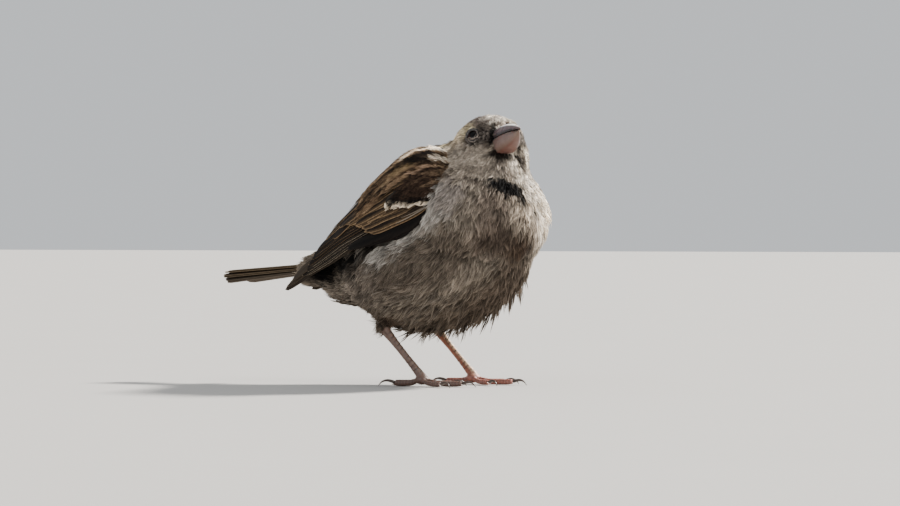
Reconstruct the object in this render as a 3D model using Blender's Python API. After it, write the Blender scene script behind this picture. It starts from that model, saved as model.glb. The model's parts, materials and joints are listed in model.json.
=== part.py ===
"""House sparrow, life size: it stands with its feathers fluffed and looks up to its right.

Metres, +Z up. +X is the way the trunk faces and +Y is the bird's left. The origin is on the floor,
under the centre of the bounding box. Sizes below are in millimetres and mm() turns them into metres.
The solids give the outline out to the feather tips. Each named part of the bird is its own object.
"""

import math

import bmesh
import bpy
from mathutils import Matrix, Vector

MM = 0.001
GAP = 0.32  # clearance between pieces that touch, in millimetres

# Head: where its centre is, and how it is turned from the trunk's heading.
HEAD_AT = (18.2, 0.0, 79.9)
HEAD_YAW, HEAD_PITCH, HEAD_ROLL = -36.0, 22.0, 0.0

# The flesh and its plumage as rounded lobes: centre, half sizes, and pitch (front end up) in degrees.
BODY_LOBES = {
    "belly": dict(at=(-2.6, 0, 46.4), half=(36.2, 26.0, 27.4), pitch=13),
    "breast": dict(at=(10.0, 0, 57.2), half=(26.8, 25.5, 22.5), pitch=0),
    "mantle": dict(at=(-5.5, 0, 60.5), half=(28.0, 19.0, 17.5), pitch=40),
    "shoulders": dict(at=(-0.5, 0, 68.0), half=(17.0, 19.0, 14.2), pitch=12),
    "rump": dict(at=(-41.0, 0, 42.5), half=(18.0, 11.0, 8.5), pitch=22),
    "vent": dict(at=(-34.0, 0, 34.6), half=(14.5, 10.5, 8.4), pitch=-16),
    "neck": dict(at=(12.5, 0, 72.2), half=(16.0, 15.5, 12.0), pitch=32),
}
# The head's lobes are in the head's own frame: x along the bill, y to its left, z to its crown.
HEAD_LOBES = {
    "skull": dict(at=(-0.4, 0, 1.0), half=(11.9, 12.6, 10.8), pitch=0),
    "nape": dict(at=(-3.8, 0, 3.0), half=(9.0, 11.2, 9.2), pitch=0),
    "cheeks": dict(at=(-1.0, 0, -3.0), half=(11.5, 13.3, 9.8), pitch=0),
    "face": dict(at=(3.9, 0, -0.6), half=(7.3, 8.8, 8.0), pitch=0),
    "throat": dict(at=(0.5, 0, -7.0), half=(10.5, 10.5, 9.0), pitch=-20),
}
VOXEL = 1.9
SMOOTHING_STEPS = 7
BODY_FACES = 1500

BILL = dict(
    base_x=7.6,
    base_z=-1.5,
    droop=-5.0,
    upper=15.7,
    lower=14.3,
    up_depth=5.4,
    low_depth=3.7,
    width=4.1,
)
EYE = dict(at=(4.4, 7.8, 2.3), radius=3.0)

# Right wing, folded: stations from the bend of the wing (0) to the longest primary's tip (1).
# Each gives the lower edge on the flank and the upper edge beside the mid line of the back.
WING_STATIONS = (
    ((14.5, -17.0, 65.5), (11.0, -9.5, 76.0)),
    ((7.5, -23.5, 60.0), (2.0, -8.0, 80.0)),
    ((-2.0, -26.3, 52.5), (-8.5, -7.0, 79.0)),
    ((-12.5, -25.9, 47.4), (-20.5, -6.5, 71.2)),
    ((-24.0, -22.6, 44.0), (-32.0, -6.0, 61.0)),
    ((-36.0, -17.0, 39.4), (-42.0, -6.2, 51.8)),
    ((-47.5, -12.6, 35.6), (-50.0, -8.2, 43.0)),
    ((-59.4, -9.3, 31.4), (-58.4, -8.9, 33.4)),
)
WING_THICK, WING_TIP_THICK = 2.4, 0.8
COVERTS_END = 0.46
SECONDARIES_FROM, SECONDARIES_END = 0.68, 0.87

# Tail: twelve feathers folded into a shallow roof, as a middle pair of lengths and a stack each side.
TAIL = dict(root=(-44.0, 41.9), bend=(-58.0, 38.9), tip=(-89.2, 36.7), half_root=4.6, half_tip=7.4)
TAIL_ARCH, TAIL_THICK, TAIL_NOTCH = 3.6, 1.1, 2.2

# Legs: the ankle, then the joint where the toes meet. The left foot is set ahead of the right one.
RIGHT_FOOT = dict(name="right", side=-1, joint=(-2.5, -11.0, 3.2), heading=8.0)
LEFT_FOOT = dict(name="left", side=1, joint=(4.8, 11.0, 3.2), heading=8.0)
ANKLE_FROM_JOINT = (-14.5, 0.0, 15.6)
THIGH_RISE = ((1.0, 0, 4.4, 2.7), (3.6, 0, 10.0, 3.9), (8.2, 0, 17.0, 5.2))
TARSUS_RADII = (1.9, 1.5, 1.32, 1.32, 1.45, 1.7)
FOOT_PAD = (2.6, 2.5, 1.8)

# Toes: angle from the foot's heading (towards the mid line), start beside the joint, length and claw.
TOES = {
    "hind": dict(turn=181.0, start=(-1.2, 0.0), length=9.3, claw=5.4, radius=1.2),
    "inner": dict(turn=33.0, start=(0.7, 1.8), length=9.8, claw=4.0, radius=0.92),
    "middle": dict(turn=0.0, start=(1.5, 0.0), length=13.6, claw=4.3, radius=1.02),
    "outer": dict(turn=-27.0, start=(0.6, -1.8), length=10.4, claw=4.0, radius=0.9),
}

COLOURS = {
    "plumage_grey": ((0.33, 0.28, 0.235), 0.9),
    "plumage_crown": ((0.26, 0.21, 0.17), 0.9),
    "feather_brown": ((0.16, 0.10, 0.06), 0.75),
    "feather_dark": ((0.07, 0.05, 0.04), 0.7),
    "bill_horn": ((0.27, 0.20, 0.19), 0.45),
    "eye_dark": ((0.02, 0.012, 0.01), 0.08),
    "leg_skin": ((0.42, 0.20, 0.14), 0.55),
    "claw_horn": ((0.05, 0.035, 0.03), 0.4),
}


def mm(x, y, z):
    return Vector((x, y, z)) * MM


def clear_scene():
    for obj in list(bpy.data.objects):
        bpy.data.objects.remove(obj)


def material(name):
    """The Principled material of that name, made the first time it is asked for."""
    found = bpy.data.materials.get(name)
    if found:
        return found
    colour, roughness = COLOURS[name]
    made = bpy.data.materials.new(name)
    made.use_nodes = True
    shader = made.node_tree.nodes["Principled BSDF"]
    shader.inputs["Base Color"].default_value = (*colour, 1)
    shader.inputs["Roughness"].default_value = roughness
    made.diffuse_color = (*colour, 1)
    return made


def add_object(name, bm, finish):
    """Makes an object of a bmesh, with its faces turned outwards."""
    bmesh.ops.recalc_face_normals(bm, faces=bm.faces)
    mesh = bpy.data.meshes.new(name)
    bm.to_mesh(mesh)
    bm.free()
    mesh.shade_smooth()
    obj = bpy.data.objects.new(name, mesh)
    mesh.materials.append(material(finish))
    bpy.context.scene.collection.objects.link(obj)
    return obj


def bake(obj):
    """Applies an object's modifiers, so that the next step starts from a plain mesh."""
    graph = bpy.context.evaluated_depsgraph_get()
    mesh = bpy.data.meshes.new_from_object(obj.evaluated_get(graph))
    obj.modifiers.clear()
    obj.data = mesh
    mesh.shade_smooth()


def smooth_step(low, high, value):
    t = min(max((value - low) / (high - low), 0), 1)
    return t * t * (3 - 2 * t)


def along(values, t):
    """A smooth curve (Catmull-Rom) through evenly spaced numbers or vectors, at t from 0 to 1."""
    last = len(values) - 1
    i = min(int(t * last), last - 1)
    f = t * last - i
    a, b = values[max(i - 1, 0)], values[i]
    c, d = values[i + 1], values[min(i + 2, last)]
    return 0.5 * (2 * b + (c - a) * f + (2 * a - 5 * b + 4 * c - d) * f**2 + (3 * b - 3 * c + d - a) * f**3)


def turn(yaw, pitch, roll=0.0):
    """Rotation that yaws about Z, then lifts the front end by pitch."""
    parts = ((yaw, "Z"), (-pitch, "Y"), (roll, "X"))
    spins = [Matrix.Rotation(math.radians(angle), 4, axis) for angle, axis in parts]
    return spins[0] @ spins[1] @ spins[2]


HEAD_FRAME = Matrix.Translation(mm(*HEAD_AT)) @ turn(HEAD_YAW, HEAD_PITCH, HEAD_ROLL)


def add_lobe(bm, at, half, pitch, frame):
    place = frame @ Matrix.Translation(mm(*at)) @ turn(0, pitch) @ Matrix.Diagonal((*mm(*half), 1))
    bmesh.ops.create_icosphere(bm, subdivisions=4, radius=1, matrix=place)


def blended_body():
    """All the lobes melted into one smooth closed body."""
    bm = bmesh.new()
    for lobe in BODY_LOBES.values():
        add_lobe(bm, **lobe, frame=Matrix.Identity(4))
    for lobe in HEAD_LOBES.values():
        add_lobe(bm, **lobe, frame=HEAD_FRAME)
    body = add_object("body", bm, "plumage_grey")
    remesh = body.modifiers.new("melt", "REMESH")
    remesh.mode = "VOXEL"
    remesh.voxel_size = VOXEL * MM
    soften = body.modifiers.new("soften", "SMOOTH")
    soften.iterations = SMOOTHING_STEPS
    bake(body)
    thin = body.modifiers.new("thin", "DECIMATE")
    thin.ratio = BODY_FACES / (2 * len(body.data.polygons))
    bake(body)
    return body


def loft(name, rings, finish):
    """A closed solid through rings of equally many points. A ring of one point closes to a tip."""
    bm = bmesh.new()
    loops = [[bm.verts.new(p) for p in ring] for ring in rings]
    for near, far in zip(loops, loops[1:]):
        count = max(len(near), len(far))
        for i in range(count):
            j = (i + 1) % count
            corners = [near[i % len(near)], near[j % len(near)], far[j % len(far)], far[i % len(far)]]
            bm.faces.new(dict.fromkeys(corners))
    for end in (loops[0], loops[-1]):
        if len(end) > 2:
            bm.faces.new(end)
    return add_object(name, bm, finish)


def tube(name, points, radii, finish, sides=10, steps=3, wide=1.0, flat=False):
    """A rounded tube through points, with radii in millimetres and a domed end at each end.

    wide stretches its level diameter. flat keeps it above the floor, with a flat sole where it would dip.
    """
    count = steps * (len(points) - 1)
    path = [along(points, i / count) for i in range(count + 1)]
    sizes = [along(radii, i / count) * MM for i in range(count + 1)]
    rings = []
    for i, centre in enumerate(path):
        ahead = (path[min(i + 1, count)] - path[max(i - 1, 0)]).normalized()
        level = ahead.cross(Vector((0, 0, 1))).normalized()
        upright = level.cross(ahead)
        dome = ((-0.85, 0.5), (-0.5, 0.87)) if i == 0 else ((0.5, 0.87), (0.85, 0.5)) if i == count else ()
        shares = [*dome, (0, 1)] if i == 0 else [(0, 1), *dome]
        for push, share in shares:
            ring = []
            for k in range(sides):
                angle = math.tau * (k + 0.5) / sides
                out = level * math.cos(angle) * wide + upright * math.sin(angle)
                ring.append(centre + ahead * push * sizes[i] + out * share * sizes[i])
            rings.append(ring)
        if i in (0, count):
            end = [centre + ahead * (-1 if i == 0 else 1) * sizes[i]]
            rings.insert(0 if i == 0 else len(rings), end)
    if flat:
        for point in (p for ring in rings for p in ring):
            point.z = max(point.z, 0)
    return loft(name, rings, finish)


def grown(obj, by=GAP):
    """A hidden copy of an object, moved outwards along its normals, to cut a pocket with."""
    mesh = obj.data.copy()
    normals = [v.normal.copy() for v in mesh.vertices]
    for vertex, normal in zip(mesh.vertices, normals):
        vertex.co += normal * by * MM
    copy = bpy.data.objects.new(obj.name + "_pocket", mesh)
    bpy.context.scene.collection.objects.link(copy)
    return copy


def combine(target, other, operation):
    boolean = target.modifiers.new(operation.lower(), "BOOLEAN")
    boolean.operation = operation
    boolean.object = other
    bake(target)
    bpy.data.objects.remove(other)


def drop_crumbs(obj):
    """Keeps the largest connected piece of a mesh."""
    bm = bmesh.new()
    bm.from_mesh(obj.data)
    unseen, largest = set(bm.verts), set()
    while unseen:
        island, edge = set(), [next(iter(unseen))]
        while edge:
            vertex = edge.pop()
            if vertex not in island:
                island.add(vertex)
                edge += [link.other_vert(vertex) for link in vertex.link_edges]
        unseen -= island
        largest = max(largest, island, key=len)
    bmesh.ops.delete(bm, geom=[v for v in bm.verts if v not in largest], context="VERTS")
    bm.to_mesh(obj.data)
    bm.free()


def pocket(target, *pieces, by=GAP):
    """Cuts room in target for each piece, with the gap around it."""
    for piece in pieces:
        combine(target, grown(piece, by), "DIFFERENCE")
    drop_crumbs(target)


def copied(obj, name, finish=None):
    made = bpy.data.objects.new(name, obj.data.copy())
    bpy.context.scene.collection.objects.link(made)
    if finish:
        made.data.materials[0] = material(finish)
    return made


def keep_side(obj, point, normal):
    """Cuts an object with a plane and keeps the side that the normal points to, half a gap away."""
    normal = Vector(normal).normalized()
    bm = bmesh.new()
    bm.from_mesh(obj.data)
    everything = [*bm.verts, *bm.edges, *bm.faces]
    start = point + normal * GAP * MM / 2
    bmesh.ops.bisect_plane(bm, geom=everything, plane_co=start, plane_no=normal, clear_inner=True)
    bmesh.ops.holes_fill(bm, edges=[edge for edge in bm.edges if edge.is_boundary])
    bm.to_mesh(obj.data)
    bm.free()
    return obj


def ball(name, at, radius, finish, frame=Matrix.Identity(4), sides=10):
    bm = bmesh.new()
    place = frame @ Matrix.Translation(mm(*at))
    rows = sides * 3 // 4
    bmesh.ops.create_uvsphere(bm, u_segments=sides, v_segments=rows, radius=radius * MM, matrix=place)
    return add_object(name, bm, finish)


def mandible(name, length, depth, width, up, finish="bill_horn"):
    """Half of the bill. up is 1 for the upper half, whose tip hooks over, and -1 for the lower one."""
    stations, arch = 8, 8
    frame = HEAD_FRAME @ Matrix.Translation(mm(BILL["base_x"], 0, BILL["base_z"])) @ turn(0, BILL["droop"])
    rings = []
    for i in range(stations):
        t = i / stations
        keel = depth * (1 - t ** (2.1 if up > 0 else 2.8)) ** 0.85
        half = width * (1 - t**1.5) ** 0.9
        edge = up * GAP / 2 - 0.7 * t**3
        ring = []
        for k in range(arch + 1):
            angle = math.pi * k / arch
            lift = math.sin(angle) ** (0.85 if up > 0 else 0.6) * keel
            ring.append(frame @ mm(length * t, half * math.cos(angle), edge + up * lift))
        rings.append(ring)
    rings.append([frame @ mm(length, 0, -0.9 if up > 0 else -0.75)])
    return loft(name, rings, finish)


def wing_point(s, c, depth=0.0):
    """A point of the folded right wing: s runs to its tip, c from its lower edge to its upper edge.

    Depth is how far below the outer surface it lies, towards the body.
    """
    lower = along([Vector(station[0]) for station in WING_STATIONS], s)
    upper = along([Vector(station[1]) for station in WING_STATIONS], s)
    angle = c * math.pi / 2
    x = lower.x + (upper.x - lower.x) * c
    y = upper.y + (lower.y - upper.y) * math.cos(angle)
    z = lower.z + (upper.z - lower.z) * math.sin(angle)
    inwards = Vector((0, math.cos(angle), -math.sin(angle)))
    return mm(x, y, z) + inwards * depth * MM


def dividing_line(s):
    """Where the secondaries end and the primaries begin, across the wing."""
    return 0.26 + 0.74 * smooth_step(SECONDARIES_FROM, SECONDARIES_END, s)


def wing_panel(name, from_s, to_s, low, high, finish, rows=7, columns=4):
    """A curved panel of the wing, between two lines low(s) and high(s) across it."""
    bm = bmesh.new()
    outer, inner = [], []
    for i in range(rows + 1):
        s = from_s + (to_s - from_s) * i / rows
        thick = WING_THICK + (WING_TIP_THICK - WING_THICK) * smooth_step(0.1, 0.95, s)
        for j in range(columns + 1):
            c = low(s) + (high(s) - low(s)) * j / columns
            edge = 0.55 if j in (0, columns) or i in (0, rows) else 1.0
            outer.append(bm.verts.new(wing_point(s, c, thick * (1 - edge) / 2)))
            inner.append(bm.verts.new(wing_point(s, c, thick * (1 + edge) / 2)))
    width = columns + 1
    for side, step in ((outer, 1), (inner, -1)):
        for i in range(rows):
            for j in range(columns):
                k = i * width + j
                bm.faces.new([side[k], side[k + width], side[k + width + 1], side[k + 1]][::step])
    rim = [j for j in range(width)]
    rim += [i * width + columns for i in range(1, rows + 1)]
    rim += [rows * width + j for j in reversed(range(columns))]
    rim += [i * width for i in reversed(range(1, rows))]
    for a, b in zip(rim, rim[1:] + rim[:1]):
        bm.faces.new([outer[a], outer[b], inner[b], inner[a]])
    return add_object(name, bm, finish)


def mirrored(obj, name):
    """The same piece on the bird's other side."""
    copy = copied(obj, name)
    copy.data.transform(Matrix.Scale(-1, 4, (0, 1, 0)))
    copy.data.flip_normals()
    return copy


def wings():
    """Coverts, secondaries with the tertials, and primaries, on both sides."""
    slit = 0.014
    right = [
        wing_panel("wing_coverts_right", 0, COVERTS_END, lambda s: 0, lambda s: 1, "feather_brown"),
        wing_panel(
            "wing_secondaries_right",
            COVERTS_END + slit,
            SECONDARIES_END - 2.5 * slit,
            lambda s: dividing_line(s) + slit,
            lambda s: 1,
            "feather_brown",
            rows=8,
        ),
        wing_panel(
            "wing_primaries_right",
            COVERTS_END + slit,
            1,
            lambda s: 0,
            lambda s: dividing_line(s) - slit,
            "feather_dark",
            rows=11,
            columns=3,
        ),
    ]
    return right + [mirrored(panel, panel.name.replace("right", "left")) for panel in right]


def tail_stack(name, inner, outer, length, layer):
    """Part of the tail, from one share of its half width to another. layer lowers it below the others."""
    stations, across = 5, 4
    root, bend, tip = (Vector((x, 0, z)) for x, z in (TAIL["root"], TAIL["bend"], TAIL["tip"]))
    rings = []
    for i in range(stations + 1):
        t = i / stations * length
        centre = root.lerp(bend, t).lerp(bend.lerp(tip, t), t)
        half = TAIL["half_root"] + (TAIL["half_tip"] - TAIL["half_root"]) * t
        top, under = [], []
        for k in range(across + 1):
            share = inner + (outer - inner) * k / across
            rounding = 1 - 0.5 * (abs(2 * k / across - 1) ** 3)
            drop = TAIL_ARCH * share**2 + layer
            back = TAIL_NOTCH * t**3 * (0.5 - abs(share)) if i == stations else 0
            top.append(mm(centre.x - back, half * share, centre.z + 2 - drop))
            under.append(mm(centre.x - back, half * share, centre.z + 2 - drop - TAIL_THICK * rounding))
        rings.append(top + under[::-1])
    return loft(name, rings, "feather_dark")


def tail():
    centre = tail_stack("tail_centre", -0.42, 0.42, 1.0, 0.0)
    sides = []
    for name, sign in (("right", -1), ("left", 1)):
        sides.append(tail_stack(f"tail_side_{name}", sign * 0.40, sign * 1.0, 0.985, TAIL_THICK))
        pocket(sides[-1], centre)
    return [centre, *sides]


def toe_frame(foot, turned):
    """A frame at floor level below the foot's joint, with x along the toe."""
    x, y, _ = foot["joint"]
    yaw = foot["heading"] - foot["side"] * turned
    return Matrix.Translation(mm(x, y, 0)) @ turn(yaw, 0)


def toe_and_claw(foot, name, turned, start, length, claw, radius):
    """One toe lying flat on the floor, with its pads, and the curved claw set in its end."""
    home = toe_frame(foot, 0)
    base = home @ mm(start[0], -foot["side"] * start[1], 2.2)
    yaw = turn(foot["heading"] - foot["side"] * turned, 0).to_3x3()
    reach = (0, 0.3, 0.55, 0.8, 1.0)
    heights = (0, -0.95, -1.12, -1.1, -0.95)
    points = [base + yaw @ mm(length * r, 0, z) for r, z in zip(reach, heights)]
    radii = [radius * share for share in (0.76, 0.98, 1.08, 1.06, 0.8)]
    suffix = f"{name}_{foot['name']}"
    toe = tube(f"toe_{suffix}", points, radii, "leg_skin", sides=8, steps=1, flat=True)
    tip = points[-1]
    arc = ((-0.06, 0.1), (0.25, 0.66), (0.52, 0.72), (0.8, 0.16), (1.0, -1.0))
    hook = [tip + yaw @ mm(claw * r, 0, z * claw / 5.6) for r, z in arc]
    hook[-1].z = 0.12 * MM
    nail = tube(f"claw_{suffix}", hook, (0.62, 0.58, 0.46, 0.3, 0.12), "claw_horn", sides=6, steps=1, flat=True)
    pocket(toe, nail)
    return toe


def leg(foot):
    """Feathered thigh, bare tarsus ending in the foot's pad, four toes and their claws."""
    x, y, z = foot["joint"]
    joint = mm(x, y, z)
    ankle = joint + mm(*ANKLE_FROM_JOINT)
    shin = [ankle.lerp(joint, t) for t in (0, 0.2, 0.4, 0.6, 0.8, 1)]
    tarsus = tube(f"tarsus_{foot['name']}", shin, TARSUS_RADII, "leg_skin", sides=8, steps=1, wide=0.85)
    pad = bmesh.new()
    place = toe_frame(foot, 0) @ Matrix.Translation(mm(0, 0, 2.3)) @ Matrix.Diagonal((*mm(*FOOT_PAD), 1))
    bmesh.ops.create_icosphere(pad, subdivisions=2, radius=1, matrix=place)
    for vertex in pad.verts:
        vertex.co.z = max(vertex.co.z, 0.6 * MM)
    combine(tarsus, add_object("foot_pad", pad, "leg_skin"), "UNION")
    rise = [mm(*step[:3]) for step in THIGH_RISE]
    path = [ankle + mm(0, 0, 0.6), *(ankle + step for step in rise)]
    radii = (2.35, *(step[3] for step in THIGH_RISE))
    thigh = tube(f"thigh_{foot['name']}", path, radii, "plumage_crown", sides=10, steps=2)
    pocket(thigh, tarsus)
    for name, sizes in TOES.items():
        toe = toe_and_claw(
            foot, name, sizes["turn"], sizes["start"], sizes["length"], sizes["claw"], sizes["radius"]
        )
        pocket(toe, tarsus)
    return thigh


def divide(body):
    """Parts the whole body with thin cuts into head, neck, trunk and rump."""
    collar = Vector(HEAD_AT)
    sphere = ball("collar", collar, 17.5, "plumage_grey", sides=24)
    wider = ball("wider_collar", collar, 17.5 + GAP, "plumage_grey", sides=24)
    top = copied(body, "top")
    combine(top, sphere, "INTERSECT")
    combine(body, wider, "DIFFERENCE")
    nape = HEAD_FRAME @ mm(-3.5, 0, -8.2)
    upwards = (0.28, 0.0, 0.96)
    keep_side(copied(top, "head", "plumage_crown"), nape, upwards)
    keep_side(copied(top, "neck"), nape, -Vector(upwards))
    bpy.data.objects.remove(top)
    tail_root = mm(-37.0, 0, 40.0)
    backwards = (-0.9, 0, -0.35)
    keep_side(copied(body, "trunk"), tail_root, -Vector(backwards))
    keep_side(copied(body, "rump"), tail_root, backwards)
    bpy.data.objects.remove(body)


def centre_on_floor():
    """Moves everything so that the origin is on the floor under the middle of the bounding box."""
    corners = [v.co for obj in bpy.data.objects for v in obj.data.vertices]
    low = Vector(map(min, *corners))
    high = Vector(map(max, *corners))
    shift = Vector((-(low.x + high.x) / 2, -(low.y + high.y) / 2, -low.z))
    for obj in bpy.data.objects:
        obj.data.transform(Matrix.Translation(shift))
    print("shift to the origin, mm:", [round(v / MM, 3) for v in shift])


def main():
    clear_scene()
    body = blended_body()
    bill = [
        mandible("bill_upper", BILL["upper"], BILL["up_depth"], BILL["width"], 1),
        mandible("bill_lower", BILL["lower"], BILL["low_depth"], BILL["width"] * 0.93, -1),
    ]
    x, y, z = EYE["at"]
    eyes = [
        ball(f"eye_{name}", (x, sign * y, z), EYE["radius"], "eye_dark", HEAD_FRAME)
        for name, sign in (("right", -1), ("left", 1))
    ]
    panels = wings()
    stacks = tail()
    thighs = [leg(foot) for foot in (RIGHT_FOOT, LEFT_FOOT)]
    pocket(body, *bill, *eyes, *panels, *stacks, *thighs)
    divide(body)
    centre_on_floor()


main()
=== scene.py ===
# House sparrow, life size: its skin, feathers, bill, eyes and feet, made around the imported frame.
# Lengths are millimetres in the bird's own layout, and toFrame turns them into the frame's metres.
import json
import math
import random

import bmesh
import bpy
import numpy as np
from mathutils import Matrix, Vector, noise
from mathutils.bvhtree import BVHTree

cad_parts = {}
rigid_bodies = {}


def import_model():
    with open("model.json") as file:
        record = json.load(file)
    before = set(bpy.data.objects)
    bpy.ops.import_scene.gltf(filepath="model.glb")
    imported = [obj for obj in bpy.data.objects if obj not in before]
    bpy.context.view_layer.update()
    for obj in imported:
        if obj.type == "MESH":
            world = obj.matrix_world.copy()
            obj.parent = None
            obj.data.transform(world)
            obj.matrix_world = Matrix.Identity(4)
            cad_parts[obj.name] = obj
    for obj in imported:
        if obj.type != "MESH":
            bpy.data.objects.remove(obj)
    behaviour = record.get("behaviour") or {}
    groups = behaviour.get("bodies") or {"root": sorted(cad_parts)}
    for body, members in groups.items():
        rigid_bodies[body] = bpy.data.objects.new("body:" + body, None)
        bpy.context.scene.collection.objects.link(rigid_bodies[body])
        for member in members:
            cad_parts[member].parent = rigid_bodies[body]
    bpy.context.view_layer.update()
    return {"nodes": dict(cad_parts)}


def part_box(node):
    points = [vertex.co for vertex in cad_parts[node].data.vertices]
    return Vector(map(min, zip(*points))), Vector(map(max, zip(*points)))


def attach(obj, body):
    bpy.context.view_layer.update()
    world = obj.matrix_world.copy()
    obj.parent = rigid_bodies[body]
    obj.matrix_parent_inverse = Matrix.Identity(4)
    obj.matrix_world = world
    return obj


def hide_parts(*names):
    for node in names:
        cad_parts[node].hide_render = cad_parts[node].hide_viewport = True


for spare in list(bpy.data.objects):
    bpy.data.objects.remove(spare)
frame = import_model()
mm = 0.001
nodes = frame["nodes"]

# where the head sits on the trunk and how far it is turned
headPose = dict(at=(18.2, 0.0, 79.9), yaw=-36.0, pitch=22.0)
# the eyes in the head's own axes, the right one as -1; bare is the coat-free reach behind, then in front
eyeSpot = dict(
    at=(4.4, 7.8, 2.3), radius=3.0, fit=0.12,
    axis={-1: (0.79, -0.61, 0.06), 1: (0.52, 0.85, 0.06)},
    bare={-1: (2.2, 3.3), 1: (1.9, 2.4)}, ahead={-1: 0.5, 1: 0.0},
    sunk={-1: (0.0, 0.0, 0.0), 1: (-0.5, -0.5, 0.0)},
)
sides = ((-1, "Right"), (1, "Left"))

yaw, pitch = math.radians(headPose["yaw"]), math.radians(headPose["pitch"])
headTurn = Matrix.Rotation(yaw, 3, "Z") @ Matrix.Rotation(-pitch, 3, "Y")
headAxes, headCentre = np.array(headTurn), np.array(headPose["at"])


def nodeMiddle(node):
    low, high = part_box(node)
    return (low + high) / (2 * mm)


eyesMiddle = (nodeMiddle("eye_left") + nodeMiddle("eye_right")) / 2
shift = np.array(eyesMiddle - headTurn @ Vector((eyeSpot["at"][0], 0, eyeSpot["at"][2]))) - headCentre


def toFrame(points):
    return (np.asarray(points, float) + shift) * mm


def fromFrame(points):
    return np.asarray(points, float) / mm - shift


def headToBody(points):
    return np.asarray(points, float) @ headAxes.T + headCentre


def bodyToHead(points):
    return (np.asarray(points, float) - headCentre) @ headAxes


def smoothStep(low, high, value):
    t = np.clip((np.asarray(value, float) - low) / (high - low), 0, 1)
    return t * t * (3 - 2 * t)


def unit(vectors):
    return vectors / np.maximum(np.linalg.norm(vectors, axis=-1, keepdims=True), 1e-9)


def turnedTo(vectors, way):   # each one flipped where it points away from the way
    return vectors * np.sign((vectors * way).sum(1))[:, None]


def between(pair, share):
    return pair[0] + (pair[1] - pair[0]) * share


def blend(first, second, weight):
    weight = np.clip(weight, 0, 1)[:, None]
    return np.asarray(first) * (1 - weight) + np.asarray(second) * weight


def tableAt(table, value):   # a line through a table of places and levels
    places, levels = np.array(table).T
    return np.interp(value, places, levels)


def noiseAt(places):
    return np.array([noise.noise(place) for place in places])


def noiseAlong(points, lieOf, size, stretch=0.72, offset=0.0):   # patches drawn out along the feathers
    across = points - lieOf * (points * lieOf).sum(1)[:, None] * stretch + offset
    return noiseAt(Vector(p) / size for p in across)


def srgb(*levels):   # 0-255 levels as a linear colour
    return tuple(((v / 255 + 0.055) / 1.055) ** 2.4 if v > 10 else v / 255 / 12.92 for v in levels)


def strokeDistance(points, start, end):   # how far each point is from a straight stroke
    a, b = np.array(start, float), np.array(end, float)
    along = b - a
    t = np.clip((points - a) @ along / max(along @ along, 1e-9), 0, 1)
    return np.linalg.norm(points - a - t[:, None] * along, axis=1)


def meshArrays(mesh):
    fields = [np.empty(len(mesh.vertices) * 3) for _ in range(2)]
    mesh.vertices.foreach_get("co", fields[0])
    mesh.vertices.foreach_get("normal", fields[1])
    return [field.reshape(-1, 3) for field in fields]


def setPoints(mesh, points):
    mesh.vertices.foreach_set("co", points.ravel())
    mesh.update()


def setAttribute(mesh, name, values, domain="POINT"):   # its kind follows from the number of columns
    values = np.ascontiguousarray(values, np.float32)
    columns = values.shape[1] if values.ndim > 1 else 1
    kind, field = {1: ("FLOAT", "value"), 3: ("FLOAT_VECTOR", "vector"), 4: ("FLOAT_COLOR", "color")}[columns]
    layer = mesh.attributes.get(name) or mesh.attributes.new(name, kind, domain)
    layer.data.foreach_set(field, values.ravel())


def opaque(colours):
    return np.c_[colours, np.ones(len(colours))]


def cornerVertices(mesh):
    corners = np.empty(len(mesh.loops), int)
    mesh.loops.foreach_get("vertex_index", corners)
    return corners


def newObject(name, data):
    obj = bpy.data.objects.new(name, data)
    bpy.context.scene.collection.objects.link(obj)
    return obj


def openMesh(*meshes):
    bm = bmesh.new()
    for mesh in meshes:
        bm.from_mesh(mesh)
    return bm


def closeMesh(bm, mesh):   # into the mesh given, or a new one of that name
    if isinstance(mesh, str):
        mesh = bpy.data.meshes.new(mesh)
    bm.to_mesh(mesh)
    bm.free()
    return mesh


def faceOut(mesh):
    bm = openMesh(mesh)
    bmesh.ops.recalc_face_normals(bm, faces=bm.faces)
    closeMesh(bm, mesh)


def shapeMesh(name, points, faces, finish=None, **fields):   # points in the bird's layout
    mesh = bpy.data.meshes.new(name)
    mesh.from_pydata(toFrame(points), [], faces)
    for field, values in fields.items():
        setAttribute(mesh, field, np.array(values))
    if finish:
        mesh.materials.append(finish)
    return mesh


def tubeFaces(rows, around, base=0, ends=True):   # ring after ring, with the two ends closed
    faces = []
    for row in range(rows - 1):
        for lane in range(around):
            a, b = base + row * around + lane, base + row * around + (lane + 1) % around
            faces.append((a, b, b + around, a + around))
    if ends:
        faces.append(tuple(base + lane for lane in range(around))[::-1])
        faces.append(tuple(base + (rows - 1) * around + lane for lane in range(around)))
    return faces


def settle(obj):   # the modifiers' result becomes the plain mesh
    graph = bpy.context.evaluated_depsgraph_get()
    made = bpy.data.meshes.new_from_object(obj.evaluated_get(graph))
    obj.modifiers.clear()
    obj.data = made
    return obj


def finishPiece(obj, replaced=()):
    obj.data.shade_smooth()
    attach(obj, "root")
    if replaced:
        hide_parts(*replaced)
    return obj


def copyNodes(names):   # several frame nodes as one mesh, with their loose triangles joined up
    bm = openMesh(*(nodes[name].data for name in names))
    bmesh.ops.remove_doubles(bm, verts=bm.verts, dist=1e-6)
    return bm


def treeOf(*names):
    bm = copyNodes(names)
    tree = BVHTree.FromBMesh(bm)
    bm.free()
    return tree


def distanceTo(tree, points):
    return np.array([tree.find_nearest(Vector(p))[3] for p in toFrame(points)]) / mm


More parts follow.
